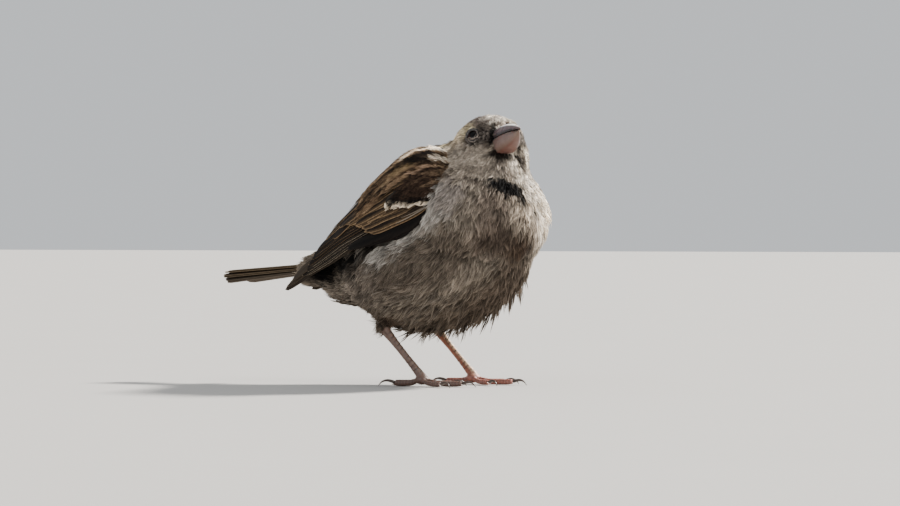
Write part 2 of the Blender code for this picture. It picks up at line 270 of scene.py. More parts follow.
def oneSkin(name, bm, voxel, relaxing):   # overlapping parts remeshed into one closed skin
    skin = newObject(name, closeMesh(bm, name))
    remesh = skin.modifiers.new("one skin", "REMESH")
    remesh.mode = "VOXEL"
    remesh.voxel_size = voxel * mm
    settle(skin)
    relax(skin.data, relaxing)
    return skin


def relax(mesh, steps, strength=0.5):   # every point eases towards the middle of its neighbours
    co, _ = meshArrays(mesh)
    edges = np.empty(len(mesh.edges) * 2, int)
    mesh.edges.foreach_get("vertices", edges)
    a, b = edges.reshape(-1, 2).T
    count = np.bincount(np.concatenate([a, b]), minlength=len(co))[:, None]
    for _ in range(steps):
        total = np.zeros_like(co)
        np.add.at(total, a, co[b])
        np.add.at(total, b, co[a])
        co = co + strength * (total / np.maximum(count, 1) - co)
    setPoints(mesh, co)


def drawIn(mesh, depths):   # every point moves inwards by its own depth
    co, normals = meshArrays(mesh)
    setPoints(mesh, co - normals * (depths * mm)[:, None])


def plug(tree, node, inputs):   # an input takes a plain value or another node's output
    for key, value in inputs.items() if isinstance(inputs, dict) else enumerate(inputs):
        if isinstance(value, bpy.types.NodeSocket):
            tree.links.new(value, node.inputs[key])
        else:
            node.inputs[key].default_value = value


def addNode(tree, kind, inputs=(), **settings):
    node = tree.nodes.new(kind)
    for key, value in settings.items():
        setattr(node, key, value)
    plug(tree, node, inputs)
    return node


class Finish:   # one material, with short names for the nodes that the finishes share
    def __init__(self, name):
        self.material = bpy.data.materials.new(name)
        self.material.use_nodes = True
        self.tree = self.material.node_tree

    def node(self, kind, inputs=(), **settings):
        return addNode(self.tree, kind, inputs, **settings)

    def place(self):
        return self.node("ShaderNodeTexCoord").outputs["Object"]

    def field(self, name, output="Fac"):
        node = self.node("ShaderNodeAttribute", attribute_type="GEOMETRY", attribute_name=name)
        return node.outputs[output]

    def blade(self):   # the three columns of the piece's own blade attribute
        return self.node("ShaderNodeSeparateXYZ", [self.field("blade", "Vector")]).outputs

    def calc(self, operation, *values, clamp=False):
        return self.node("ShaderNodeMath", values, operation=operation, use_clamp=clamp).outputs[0]

    def times(self, first, *others):
        for other in others:
            first = self.calc("MULTIPLY", first, other)
        return first

    def ramp(self, value, *levels, kind="SMOOTHSTEP"):   # from low and high, to low and high (0 and 1)
        return self.node("ShaderNodeMapRange", [value, *levels], interpolation_type=kind).outputs[0]

    def line(self, value, *levels):
        return self.ramp(value, *levels, kind="LINEAR")

    def noise(self, scale, detail=3.0, roughness=0.55, at=None):
        inputs = {"Vector": at or self.place(), "Scale": scale, "Detail": detail, "Roughness": roughness}
        return self.node("ShaderNodeTexNoise", inputs).outputs["Fac"]

    def mix(self, factor, first, second, kind="MIX"):
        first, second = ((*c, 1) if isinstance(c, tuple) else c for c in (first, second))
        inputs = {0: factor, 6: first, 7: second}
        return self.node("ShaderNodeMix", inputs, data_type="RGBA", blend_type=kind).outputs[2]

    def shaded(self, colour, level):
        grey = self.node("ShaderNodeCombineColor", [level] * 3).outputs[0]
        return self.mix(1.0, colour, grey, "MULTIPLY")

    def bump(self, height, strength, distance):
        inputs = {"Height": height, "Strength": strength, "Distance": distance}
        return self.node("ShaderNodeBump", inputs).outputs["Normal"]

    def done(self, **sockets):   # the shader's own sockets, their names written as one word
        shader = self.tree.nodes["Principled BSDF"]
        named = {socket.name.replace(" ", ""): socket.name for socket in shader.inputs}
        plug(self.tree, shader, {named[key]: value for key, value in sockets.items()})
        return self.material


# markings: soft strokes of colour, in the body's axes or the head's, on one side or both. Each has its
# ends, width, colour and strength, then any flecks: their colour, their share and the size of a patch
plumage = dict(
    base=srgb(122, 112, 100), mottle=dict(size=1.5, dark=0.67, pale=1.29),
    strokes=[
        # the belly: its own grey-brown, partly darkened as painted shade of the underside
        ("belly", "body", (-18, 0, 26), (18, 0, 27), 16, (83, 73, 63), 0.95),
        ("front belly", "body", (33, -4, 40), (22, -5, 30), 8, (89, 78, 68), 0.85),
        # painted shade under the bulge of the breast
        ("under the breast", "body", (34, -2, 49), (33, -8, 45), 5, (64, 50, 40), 0.9),
        ("lower breast", "body", (28, -18, 50), (32, -12, 47), 5.5, (80, 68, 58), 0.8),
        ("lower flank", "body sides", (14, 24, 44), (-20, 20, 36), 9, (84, 75, 66), 0.85),
        ("flank", "body sides", (11, 25, 62), (-15, 24.5, 46.5), 7.0, (152, 147, 140), 0.95),
        ("rear flank", "body sides", (-18, 20, 36), (-30, 15, 34), 6, (118, 108, 98), 0.7),
        ("shoulder", "body sides", (17, 22, 70), (14, 24, 62), 5, (138, 128, 120), 0.8),
        # painted shade: the breast's sides darker, as the side away from the light, on both sides
        ("breast", "body sides", (30, -16, 62), (27, -18, 48), 7.0, (106, 94, 84), 0.8),
        ("breast front", "body", (34, -8, 61), (36, 4, 55), 7.5, (172, 158, 142), 0.85),
        # painted sunlight: the breast's far edge, lit by the key, as a pale patch
        ("breast side", "body", (33, 4, 66), (33, 12, 50), 12, (204, 194, 180), 0.6),
        ("breast edge", "body", (33, 4, 66), (35, 8, 55), 7.5, (236, 227, 213), 0.7),
        # painted shade below the bulge of the breast
        ("below the breast", "body", (26, -17, 48), (31, -13, 50.5), 4.6, (62, 53, 46), 0.8),
        ("mantle", "body", (0, 0, 80), (-34, 0, 59), 12, (126, 104, 80), 1.0, (24, 17, 13), 0.5, 1.3),
        ("rump", "body", (-36, 0, 52), (-52, 0, 45), 9, (62, 50, 38), 1.0, (104, 84, 62), 0.35, 1.3),
        ("vent", "body", (-30, 0, 27), (-48, 0, 33), 8, (96, 87, 78), 0.95),
        # painted shadow between the folded wing and the flank
        ("under the wing", "body sides", (-24, 19, 42), (-46, 9, 38), 4.6, (8, 6, 5), 1.0),
        ("thigh", "body sides", (-13, 11, 24), (-17, 11, 18), 4.6, (82, 69, 58), 0.95),
        ("collar", "body sides", (9, 18, 74), (22, 18.5, 69.5), 4.4, (168, 155, 139), 0.8,
         (50, 41, 35), 0.42, 1.2),
        # the pale back stripe, made near white with painted sunlight
        ("back stripe", "body sides", (4, 9.5, 81), (-4, 9.5, 79.5), 3.4, (250, 238, 220), 1.0),
        ("crown", "head", (7, 0, 9), (-9, 0, 10), 9, (114, 101, 94), 0.95, (58, 47, 42), 0.45, 0.9),
        ("forehead", "head", (11.4, 0.5, 5), (7.6, -1, 9.4), 4.6, (244, 234, 218), 0.95,
         (88, 74, 64), 0.42, 0.8),
        ("crown edge", "head", (8, 6, 9), (-2, 7, 12), 3.0, (196, 188, 170), 0.6),
        ("brow", "head sides", (3.0, 11.6, 5.4), (-8, 12.4, 5), 3.8, (240, 224, 186), 0.95,
         (84, 70, 50), 0.4, 1.0),
        ("nape side", "head sides", (-3, 12, 2.5), (-10, 10.5, -1), 4.8, (224, 206, 180), 0.9,
         (96, 80, 62), 0.38, 1.0),
        ("eye stripe", "head sides", (0.5, 12, 1.4), (-6, 13, 1.0), 1.4, (98, 84, 68), 0.6),
        ("cheek", "head sides", (5, 12, -4), (-6, 13, -5), 5.4, (184, 172, 157), 0.85,
         (98, 86, 74), 0.36, 1.3),
        ("front cheek", "head sides", (9.0, 6.8, -6.6), (5.5, 9.6, -8.6), 3.2, (176, 164, 149), 0.75),
        ("lore", "head sides", (8.4, 7.4, 4.4), (9.6, 6.4, -1.8), 2.4, (92, 83, 75), 0.9,
         (26, 22, 20), 0.5, 0.7),
        ("bill edge", "head sides", (10.4, 2.9, 4.4), (9.2, 5.6, -1.0), 1.2, (12, 10, 9), 1.0),
        # painted shadow cast by the bill onto the chin
        ("under the bill", "head", (10.2, 4, -5.8), (10.2, -4.2, -5.8), 1.5, (26, 20, 17), 1.0),
        ("chin", "head", (11, 1.2, -8.0), (11, -2.2, -9.0), 3.6, (18, 13, 10), 1.0),
        ("throat", "head", (10.4, -1, -13.4), (9, -5, -15.5), 4.6, (168, 156, 142), 0.8),
        # the far throat and far cheek edge: pale feathers, partly painted sunlight on the side facing the
        # light
        ("far throat", "head", (11.5, 5, -6), (10, 8, -13), 3.8, (216, 205, 188), 0.9,
         (58, 48, 40), 0.45, 1.0),
        ("far face", "head", (9, 9.5, 3), (8, 11, -5), 3.2, (206, 194, 174), 0.85, (64, 54, 46), 0.4, 0.8),
        ("far cheek edge", "head", (5.8, 9.6, -5.3), (5.0, 9.6, -9.0), 2.0, (250, 242, 226), 0.9),
        ("far face line", "head", (9.6, 5.2, -3.0), (8.0, 6.4, -10.2), 1.25, (34, 28, 24), 0.95),
        ("far throat line", "head", (7.0, 7.8, -6.5), (6.8, 8.0, -14.4), 1.1, (56, 47, 40), 0.9),
        # painted sunlight on the throat's far side
        ("throat light", "head", (9.8, 3.4, -9.6), (9.4, 4.2, -15.5), 2.2, (240, 230, 214), 0.85),
        # painted shadow in the fold between neck and breast feathers, off the midline where the shadow falls
        ("bib", "body", (26.6, -15.2, 68.0), (33.4, -8.0, 64.8), 2.6, (5, 4, 4), 1.0),
        ("bib edge", "body", (30.8, -12.6, 64.2), (34.0, -8.2, 62.6), 1.7, (10, 8, 8), 0.95),
    ],
)

# painted shade and highlight of the lids' wrinkles, carried onto the small feathers as dark and pale rings
# around each eye, strongest below and in front of it
eyeFoldShading = dict(
    end=5.8, ease=1.6, period=1.15, ahead=0.7, strength=0.9, strongest=(0.55, 0, -0.83),
    dark=srgb(20, 17, 16), pale=srgb(138, 128, 120),
)


def aroundEye(local, side, at, ahead):   # how far out along the eye's axis, and the offset across it
    axis = unit(np.array(eyeSpot["axis"][side]))
    away = local - np.array(at) * (1, side, 1) - np.array((ahead, 0, 0))
    outward = away @ axis
    flat = away - outward[:, None] * axis
    return outward, flat, np.linalg.norm(flat, axis=1)


def strokeWeight(points, at, start, end, width):
    local = bodyToHead(points) if "head" in at else points
    ways = (1, -1) if "sides" in at else (1,)
    ends = [[np.array(spot, float) * (1, way, 1) for spot in (start, end)] for way in ways]
    best = np.min([strokeDistance(local, *pair) for pair in ends], axis=0)
    return 1 - smoothStep(0.55, 1.35, best / width)


def ringWeights(points, shake):   # how far in the ringed patch, and how pale the ring is there
    local = bodyToHead(points)
    inside, pale = np.zeros(len(points)), np.zeros(len(points))
    for side in (1, -1):
        outward, flat, ring = aroundEye(local, side, eyeSpot["at"], eyeFoldShading["ahead"])
        low = smoothStep(-0.35, 0.35, flat @ np.array(eyeFoldShading["strongest"]) / np.maximum(ring, 0.001))
        near = smoothStep(eyeFoldShading["end"], eyeFoldShading["end"] - eyeFoldShading["ease"], ring) * (outward > -2.5)
        here = near * low * eyeFoldShading["strength"]
        wave = np.sin(2 * math.pi * (ring + 0.35 * shake) / eyeFoldShading["period"])
        pale = np.where(here > inside, smoothStep(0.0, 0.7, wave), pale)
        inside = np.maximum(inside, here)
    return inside, pale


def markings(points, lieOf):
    colour = np.array(plumage["base"])
    wobble = noiseAt(Vector(p) * 0.33 for p in points)
    shaken = points + 0.9 * wobble[:, None]
    for index, (_, at, start, end, width, shade, strength, *flecks) in enumerate(plumage["strokes"]):
        paint = srgb(*shade)
        if flecks:
            fleck, share, size = flecks
            level = 0.62 * (1 - 2 * share)
            field = noiseAlong(points, lieOf, size, 0.8, 31.0 + 7 * index)
            paint = blend(paint, srgb(*fleck), smoothStep(level - 0.16, level + 0.16, field))
        colour = blend(colour, paint, strokeWeight(shaken, at, start, end, width) * strength)
    # the painted shade and highlight of the lid wrinkles round the eyes
    inside, pale = ringWeights(points, wobble * 2)
    colour = blend(colour, blend(eyeFoldShading["dark"], eyeFoldShading["pale"], pale), inside)
    mottle = plumage["mottle"]
    field = smoothStep(-0.55, 0.55, noiseAlong(points, lieOf, mottle["size"], 0.7, 5.0))[:, None]
    return colour * between((mottle["dark"], mottle["pale"]), field)


# coat: the parts of the body, each with its ends and reach, then its tufts' length, depth and width
coatParts = [
    ("coatBelly", "body", (-14, 0, 28), (16, 0, 28), 13, 9.5, 3.6, 1.5),
    ("coatFlank", "body sides", (-14, 22, 38), (12, 22, 44), 12, 9.5, 3.3, 1.5),
    ("coatBreast", "body sides", (30, 13, 60), (27, 12, 40), 11, 7.4, 3.0, 1.35),
    ("coatNeck", "body", (8, -15, 72), (8, 15, 72), 8, 5.2, 2.3, 1.2),
    ("coatBack", "body", (-2, 0, 80), (-32, 0, 60), 12, 8.5, 2.4, 1.5),
    ("coatRump", "body", (-36, 0, 50), (-52, 0, 42), 9, 4.6, 0.7, 1.0),
    ("coatVent", "body", (-28, 0, 27), (-48, 0, 32), 9, 9.0, 3.0, 1.5),
    ("coatThighs", "body", (-11, -11, 25), (-18, -11, 17), 5.2, 3.8, 1.1, 0.8),
    ("coatThighs", "body", (-4, 11, 25), (-10.5, 11, 17), 5.2, 3.8, 1.1, 0.8),
    ("coatThroat", "head", (8, 0, -9), (4, 0, -15), 7, 4.6, 2.1, 1.0),
    ("coatCheek", "head sides", (3, 10, -4), (-4, 11, -3), 6, 3.0, 1.5, 0.75),
    ("coatCrown", "head", (3, 0, 9), (-8, 0, 8), 8, 3.0, 1.1, 0.72),
    ("coatCrown", "head", (10.5, 0, 4), (9, 0, 7), 3.2, 1.9, 0.85, 0.5),
    ("coatCheek", "head sides", (7.6, 8.6, -1.2), (4.6, 10.6, -2.0), 2.3, 1.25, 0.55, 0.36),
    ("coatCheek", "head sides", (8.5, 7.5, 2.0), (10.8, 4.5, -2.5), 2.6, 1.3, 0.6, 0.4),
]
coatRegions = []
for part, at, start, end, reach, *tuftSize in coatParts:
    for side, sideName in (sides if "sides" in at else ((1, ""),)):
        ends = [np.array(spot) * (1, side, 1) for spot in (start, end)]
        coatRegions.append((part + sideName, at, ends, reach, tuftSize))


def coatFields(points):   # blended length, depth and width, and the region each point belongs to
    weights = []
    for _, at, ends, reach, _ in coatRegions:
        local = bodyToHead(points) if "head" in at else points
        weights.append(np.exp(-((strokeDistance(local, *ends) / reach) ** 2)) + 1e-12)
    weights = np.array(weights)
    share = weights / weights.sum(0)
    sizes = [sum(share[i] * region[4][column] for i, region in enumerate(coatRegions)) for column in range(3)]
    return dict(zip(("length", "depth", "width"), sizes)), weights.argmax(0)


# skin: the flesh of the frame in one piece, drawn in under the coat and finer on the face
skinShape = dict(
    nodes=["head", "neck", "trunk", "rump", "thigh_left", "thigh_right"],
    fillers=["wing_coverts_left", "wing_coverts_right", "eye_left", "eye_right"],
    plug=(8.0, 0, -1.6), plugSize=(3.6, 4.2, 4.2), voxel=0.95, relaxing=4, underCoat=0.92, rumpDrawn=1.5,
    fineAt=(6.0, 0, -2.0), fineReach=14.0,
)


def makeSkin():
    bm = copyNodes(skinShape["nodes"] + skinShape["fillers"])
    for vert in bmesh.ops.create_uvsphere(bm, u_segments=24, v_segments=16, radius=1.0)["verts"]:
        local = np.array(vert.co) * skinShape["plugSize"] + skinShape["plug"]
        vert.co = toFrame(headToBody(local[None]))[0]
    skin = oneSkin("skin", bm, skinShape["voxel"], skinShape["relaxing"])
    co, normals = meshArrays(skin.data)
    place = fromFrame(co)
    rump = skinShape["rumpDrawn"] * smoothStep(-33, -41, place[:, 0]) * smoothStep(0.35, 0.85, normals[:, 2])
    drawIn(skin.data, coatFields(place)[0]["depth"] * skinShape["underCoat"] + rump)
    relax(skin.data, skinShape["relaxing"])
    bm = openMesh(skin.data)
    spots = bodyToHead(fromFrame(np.array([edge.verts[0].co for edge in bm.edges]))) - skinShape["fineAt"]
    face = [edge for edge, spot in zip(bm.edges, spots) if np.linalg.norm(spot) < skinShape["fineReach"]]
    bmesh.ops.subdivide_edges(bm, edges=face, cuts=1, use_grid_fill=True, smooth=0.5)
    closeMesh(bm, skin.data)
    return skin


def unwrap(obj):   # an unwrap by the shape's own facing, for the finish to be baked on
    bpy.context.view_layer.objects.active = obj
    obj.select_set(True)
    bpy.ops.object.mode_set(mode="EDIT")
    bpy.ops.mesh.select_all(action="SELECT")
    bpy.ops.uv.smart_project(angle_limit=math.radians(66), island_margin=0.01)
    bpy.ops.object.mode_set(mode="OBJECT")
    obj.select_set(False)
    obj.data.uv_layers[0].name = "OFBake"


# lie: the way the feathers point over the body
lie = dict(
    body=(-0.74, 0.0, -0.68), rear=(-1.0, 0.0, -0.22), back=(-0.86, 0.0, -0.50), sag=(-0.1, 0, -0.45),
    throatAt=(24.0, -5.0, 74.0), billBase=(11.0, 0, -1.0), headSize=(15, 15.5, 13.5),
    swirl=0.75, swirlSize=5.5, tipOut=0.8, tipAlong=0.7,
)


def lieField(points, normals, lengths):
    x = points[:, 0]
    way = blend(lie["body"], lie["rear"], smoothStep(-12, -34, x))
    way = blend(way, lie["back"], smoothStep(0.1, 0.7, normals[:, 2]) * smoothStep(14, 0, x))
    fromThroat = points - np.array(lie["throatAt"])
    front = smoothStep(38, 16, np.linalg.norm(fromThroat, axis=1)) * smoothStep(-4, 12, x)
    way = blend(way, unit(fromThroat) + np.array(lie["sag"]), front)
    local = bodyToHead(points)
    headSpread = unit(local - np.array(lie["billBase"])) @ headAxes.T
    fromHead = np.linalg.norm((local - (0, 0, -1)) / lie["headSize"], axis=1)
    way = blend(way, headSpread, 1 - smoothStep(0.95, 1.25, fromHead))
    way = unit(way - (way * normals).sum(1)[:, None] * normals)
    swirl = noiseAt(Vector(p) / lie["swirlSize"] + Vector((40, 0, 0)) for p in points)   # small stray eddies
    swirl = (swirl * lie["swirl"] * np.minimum(1, lengths / 6))[:, None]
    return unit(way + np.cross(normals, way) * swirl)


skin = makeSkin()
unwrap(skin)
skinPoints, skinNormals = meshArrays(skin.data)
skinPoints = fromFrame(skinPoints)
skinCoat, skinRegion = coatFields(skinPoints)
skinLie = lieField(skinPoints, skinNormals, skinCoat["length"])
tuftTips = skinPoints + skinNormals * (skinCoat["depth"] * lie["tipOut"])[:, None]
tuftTips = tuftTips + skinLie * (skinCoat["length"] * lie["tipAlong"])[:, None]
skinTint = markings(tuftTips, skinLie)   # a tuft takes the colour of the place that its tip shows at
print("skin:", len(skin.data.vertices), "points")


# where the coat stops: how far it stays from the wings, the bill and the tail, from bare to full
coatEdge = dict(
    lift=1.6, wings=1.1, atRear=0.9, rearFrom=(-34, -40), lids=(0.0, 0.5), bill=(0.15, 0.7), tail=(0.2, 1.2),
    tailAt=(-55.0, -53.0), lowFront=(0.6, 0, -0.8),
)


def coatCover(points, normals):   # none under the wings, on the eyes, by the bill or on the tail's base
    local = bodyToHead(points)
    x = points[:, 0]
    rear = smoothStep(*coatEdge["rearFrom"], x)
    wings = (f"wing_{part}_{side}" for part in ("coverts", "secondaries") for side in ("left", "right"))
    fromWings = distanceTo(treeOf(*wings), points + normals * coatEdge["lift"])
    fromWings = fromWings - coatEdge["wings"] + coatEdge["atRear"] * rear
    cover = smoothStep(0.0, 1.0, fromWings / (coatEdge["wings"] - 0.4 * rear))
    for side in (1, -1):
        at = np.array(eyeSpot["at"]) + eyeSpot["sunk"][side]
        outward, flat, ring = aroundEye(local, side, at, eyeSpot["ahead"][side])
        lowFront = flat @ np.array(coatEdge["lowFront"]) / np.maximum(ring, 0.001)
        bare = between(eyeSpot["bare"][side], smoothStep(-0.4, 0.8, lowFront))
        free = smoothStep(*coatEdge["lids"], ring - bare)
        cover *= np.where(outward > -1.5, free, 1.0)
    fromBill = distanceTo(treeOf("bill_upper", "bill_lower"), points)
    fromTail = distanceTo(treeOf("tail_centre"), points)
    cover *= smoothStep(*coatEdge["bill"], fromBill)
    return cover * (smoothStep(*coatEdge["tail"], fromTail) * smoothStep(*coatEdge["tailAt"], x))


def coatAttributes(mesh, lieOf, lengths, depths, widths, coverOf, tint):   # what the sowing tree reads
    fields = dict(lie=lieOf, coatLength=lengths * mm, coatDepth=depths * mm, coatWidth=widths * mm)
    for name, values in dict(fields, cover=coverOf, tint=opaque(tint)).items():
        setAttribute(mesh, name, values)


clumps = dict(size=2.6, stretch=0.6, depth=0.48)
cover = coatCover(skinPoints, skinNormals)
clump = 1 + clumps["depth"] * noiseAlong(skinPoints, skinLie, clumps["size"], clumps["stretch"], 70.0)
clumpedDepth = skinCoat["depth"] * clump
coatAttributes(skin.data, skinLie, skinCoat["length"], clumpedDepth, skinCoat["width"], cover, skinTint)

# tufts: small sheaves of barbs, one unit long, one unit to each side and one unit high
tuftKinds = dict(
    soft=dict(barbs=17, rows=(0, 0.42, 0.76, 1), gather=0.5, thick=0.062, curl=0.12, arch=(2, 1.45), seed=11),
    short=dict(barbs=13, rows=(0, 0.55, 1), gather=0.35, thick=0.064, curl=0.08, arch=(2, 1.45), seed=23),
    fringe=dict(barbs=9, rows=(0, 0.4, 0.75, 1), gather=0.86, thick=0.075, curl=0.22, arch=(1.15, 0.25),
                seed=37),
)
tuftVariants = 6


def makeTuft(name, kind, seed):
    rng = random.Random(seed)
    verts, faces, blade = [], [], []
    last = len(kind["rows"]) - 1
    rise, fall = kind["arch"]
    for index in range(kind["barbs"]):
        side = (index + 0.5) / kind["barbs"] * 2 - 1 + rng.uniform(-0.06, 0.06)
        start = rng.uniform(0.05, 0.30)
        reach = (1.0 - 0.30 * side * side) * rng.uniform(0.78, 1.10)
        half = kind["thick"] * rng.uniform(0.7, 1.35)
        roll = rng.uniform(-0.7, 0.7)
        sway = rng.uniform(-1, 1) * kind["curl"]
        lift = rng.uniform(0.84, 1.14)
        shade = rng.random()
        base = len(verts)
        for step, t in enumerate(kind["rows"]):
            x = start + (reach - start) * t
            opening = 0.3 + 0.7 * min(1.0, t / 0.5)
            closing = 1 - kind["gather"] * max(0.0, (t - 0.45) / 0.55) ** 1.4
            y = side * opening * closing + sway * t * t
            z = (rise * x - fall * x * x) * lift
            w = half * (0.7 + 0.6 * t if t < 0.5 else 1.0)
            ways = (-1, 1) if step < last else (0,)   # each barb ends in one point
            verts += [(x, y + way * w * math.cos(roll), z + way * w * math.sin(roll) * 0.6) for way in ways]
            blade += [(side, t, shade)] * len(ways)
        faces += [(a, a + 2, a + 3, a + 1) for a in range(base, base + 2 * last - 2, 2)]
        a = base + 2 * (last - 1)
        faces.append((a, a + 2, a + 1))
    mesh = bpy.data.meshes.new(name)
    mesh.from_pydata(verts, [], faces)
    setAttribute(mesh, "blade", np.array(blade))
    mesh.shade_smooth()
    return bpy.data.objects.new(name, mesh)


def tuftCollection(name, kind):
    group = bpy.data.collections.new(name)
    for index in range(tuftVariants):
        group.objects.link(makeTuft(f"{name}{index}", kind, kind["seed"] + index))
    return group


# the node tree that sows tufts over a patch of skin
sowSockets = {
    "Skin": ("Geometry", None), "Tufts": ("Collection", None), "Spacing": ("Float", 0.0006),
    "Seed": ("Int", 1), "Length": ("Float", 1.0), "Depth": ("Float", 1.0), "Width": ("Float", 1.0),
    "Unruly": ("Float", 0.16),
    "Bake patch": ("Float", 0.0028), "Finish": ("Material", None),
}
sowRanges = dict(   # how much the tufts differ in size, and how far each one strays, about its three axes
    sizes=(("Length", 0.74, 1.2), ("Width", 0.75, 1.3), ("Depth", 0.70, 1.16)),
    stray=((-0.8, -0.55, -1.6), (0.8, 0.35, 1.6)),
)


def coatTree():
    tree = bpy.data.node_groups.new("sow the coat", "GeometryNodeTree")
    inputs = {}
    for label, (kind, value) in sowSockets.items():
        socket = tree.interface.new_socket(label, in_out="INPUT", socket_type="NodeSocket" + kind)
        if value is not None:
            socket.default_value = value
        inputs[label] = socket.identifier
    tree.interface.new_socket("Coat", in_out="OUTPUT", socket_type="NodeSocketGeometry")
    given = tree.nodes.new("NodeGroupInput").outputs

    def make(kind, inputs, output=0, **settings):
        return addNode(tree, kind, inputs, **settings).outputs[output]

    def named(label, kind="FLOAT"):
        return make("GeometryNodeInputNamedAttribute", {"Name": label}, data_type=kind)

    def calc(operation, first, second):
        return make("ShaderNodeMath", [first, second], operation=operation)

    def vector(operation, inputs):
        return make("ShaderNodeVectorMath", inputs, operation=operation)

    def drawn(kind, first, low, high, output, seed):   # a random value between two others
        inputs = {first: low, first + 1: high, "Seed": seed}
        return make("FunctionNodeRandomValue", inputs, output, data_type=kind)

    def chance(low, high, offset):
        return drawn("FLOAT", 2, low, high, 1, calc("ADD", seed, offset))

    def store(geometry, name, value, **settings):
        inputs = {"Geometry": geometry, "Name": name, "Value": value}
        return make("GeometryNodeStoreNamedAttribute", inputs, "Geometry", **settings)

    seed, spacing = given["Seed"], given["Spacing"]
    densest = calc("DIVIDE", 5.0, calc("MULTIPLY", spacing, spacing))
    sow = addNode(tree, "GeometryNodeDistributePointsOnFaces", {
        "Mesh": given["Skin"], "Distance Min": spacing, "Density Max": densest,
        "Density Factor": named("cover"), "Seed": seed,
    }, distribute_method="POISSON").outputs

    stand = make("FunctionNodeAlignRotationToVector", {"Vector": sow["Normal"]}, axis="Z")
    along = {"Rotation": stand, "Vector": named("lie", "FLOAT_VECTOR")}
    laidDown = make("FunctionNodeAlignRotationToVector", along, axis="X", pivot_axis="Z")
    swing = make("ShaderNodeCombineXYZ", [given["Unruly"]] * 3)
    low, high = (vector("MULTIPLY", [swing, limit]) for limit in sowRanges["stray"])
    turn = make("FunctionNodeEulerToRotation", [drawn("FLOAT_VECTOR", 0, low, high, 0, seed)])
    shaken = make("FunctionNodeRotateRotation", [laidDown, turn], rotation_space="LOCAL")
    sizes = []
    for index, (label, least, most) in enumerate(sowRanges["sizes"]):
        grown = calc("MULTIPLY", named("coat" + label), given[label])
        sizes.append(calc("MULTIPLY", grown, chance(least, most, 17 + index)))
    size = make("ShaderNodeCombineXYZ", sizes)

    points = store(sow["Points"], "tone", chance(0.0, 1.0, 41), domain="POINT", data_type="FLOAT")
    bundle = {"Collection": given["Tufts"], "Separate Children": True, "Reset Children": True}
    tufts = make("GeometryNodeCollectionInfo", bundle)
    planted = make("GeometryNodeInstanceOnPoints", {
        "Points": points, "Instance": tufts, "Pick Instance": True, "Rotation": shaken, "Scale": size,
        "Instance Index": drawn("INT", 4, 0, tuftVariants - 1, 2, seed),
    })
    solid = make("GeometryNodeRealizeInstances", [planted])

    # each tuft's own patch of the finish, at its root's place on the skin's unwrap
    patch = vector("SCALE", {0: named("blade", "FLOAT_VECTOR"), "Scale": given["Bake patch"]})
    spot = vector("ADD", [named("rootSpot", "FLOAT_VECTOR"), patch])
    baked = store(solid, "OFBake", spot, domain="CORNER", data_type="FLOAT2")
    coat = make("GeometryNodeSetMaterial", {"Geometry": baked, "Material": given["Finish"]})
    tree.links.new(coat, tree.nodes.new("NodeGroupOutput").inputs[0])
    return tree, inputs


def keepFaces(source, keep, name):   # a copy of some of the skin's faces, with the unwrap held as rootSpot
    bm = openMesh(source.data)
    bm.faces.ensure_lookup_table()
    bmesh.ops.delete(bm, geom=[face for face in bm.faces if not keep[face.index]], context="FACES")
    made = closeMesh(bm, name)
    unwrapped = made.uv_layers["OFBake"]
    spots = np.empty(len(made.loops) * 2)
    unwrapped.data.foreach_get("uv", spots)
    made.uv_layers.remove(unwrapped)
    setAttribute(made, "rootSpot", np.c_[spots.reshape(-1, 2), np.zeros(len(made.loops))], "CORNER")
    return newObject(name, made)


# feather finish shared by skin and coat: the markings, darker roots (partly the feathers' grey bases, partly
# painted shade deep in the coat), and barb-to-barb variation
def plumageMaterial(name, roots, tips, darkBarb, paleBarb, roughness, sheen):
    finish = Finish(name)
    _, along, barb = finish.blade()
    shade = finish.times(
        finish.line(along, 0.15, 0.95, roots, tips),
        finish.line(barb, 0.0, 1.0, darkBarb, paleBarb),
        finish.line(finish.field("tone"), 0.0, 1.0, 0.80, 1.20),
        finish.line(finish.noise(260.0), 0.3, 0.7, 0.88, 1.12),
    )
    return finish.done(
        BaseColor=finish.shaded(finish.field("tint", "Color"), shade), Roughness=roughness,
        SpecularIORLevel=0.09, SheenWeight=sheen, SheenRoughness=0.45,
    )


coatFinish = plumageMaterial("soft body feather", 0.34, 1.54, 0.54, 1.54, 0.85, 0.02)
# the skin under the coat at 0.30 of the markings: grey down and painted shade deep in the coat
skinFinish = plumageMaterial("down and painted shade over the skin", 0.30, 0.30, 1.0, 1.0, 0.95, 0.0)
skin.data.materials.clear()
skin.data.materials.append(skinFinish)

# each part's kind of tuft, their spacing, and what differs from the tree's own values
sowing = dict(
    coatBelly=("soft", 0.80, {}), coatFlank=("soft", 0.74, {}), coatBreast=("soft", 0.68, {}),
    coatNeck=("soft", 0.62, {}), coatBack=("soft", 0.80, dict(Unruly=0.09)),
    coatRump=("soft", 0.62, dict(Unruly=0.06)), coatVent=("soft", 0.76, {}), coatThighs=("short", 0.42, {}),
    coatThroat=("soft", 0.54, {}), coatCheek=("short", 0.34, {}),
    coatCrown=("short", 0.33, dict(Unruly=0.30)),
    coatFringe=("fringe", 1.9, dict(Length=1.15, Depth=1.75, Width=0.60, Unruly=0.30)),
    shoulderTufts=("soft", 0.56, dict(Unruly=0.10)),
)
seeds = dict(coat=101, fringe=150, shoulder=61)
fringeSpan = dict(facing=-0.45, behind=-7, ahead=27)   # only under the belly
tuftSets = {name: tuftCollection(name + "Tuft", kind) for name, kind in tuftKinds.items()}
sowTree, sowInputs = coatTree()


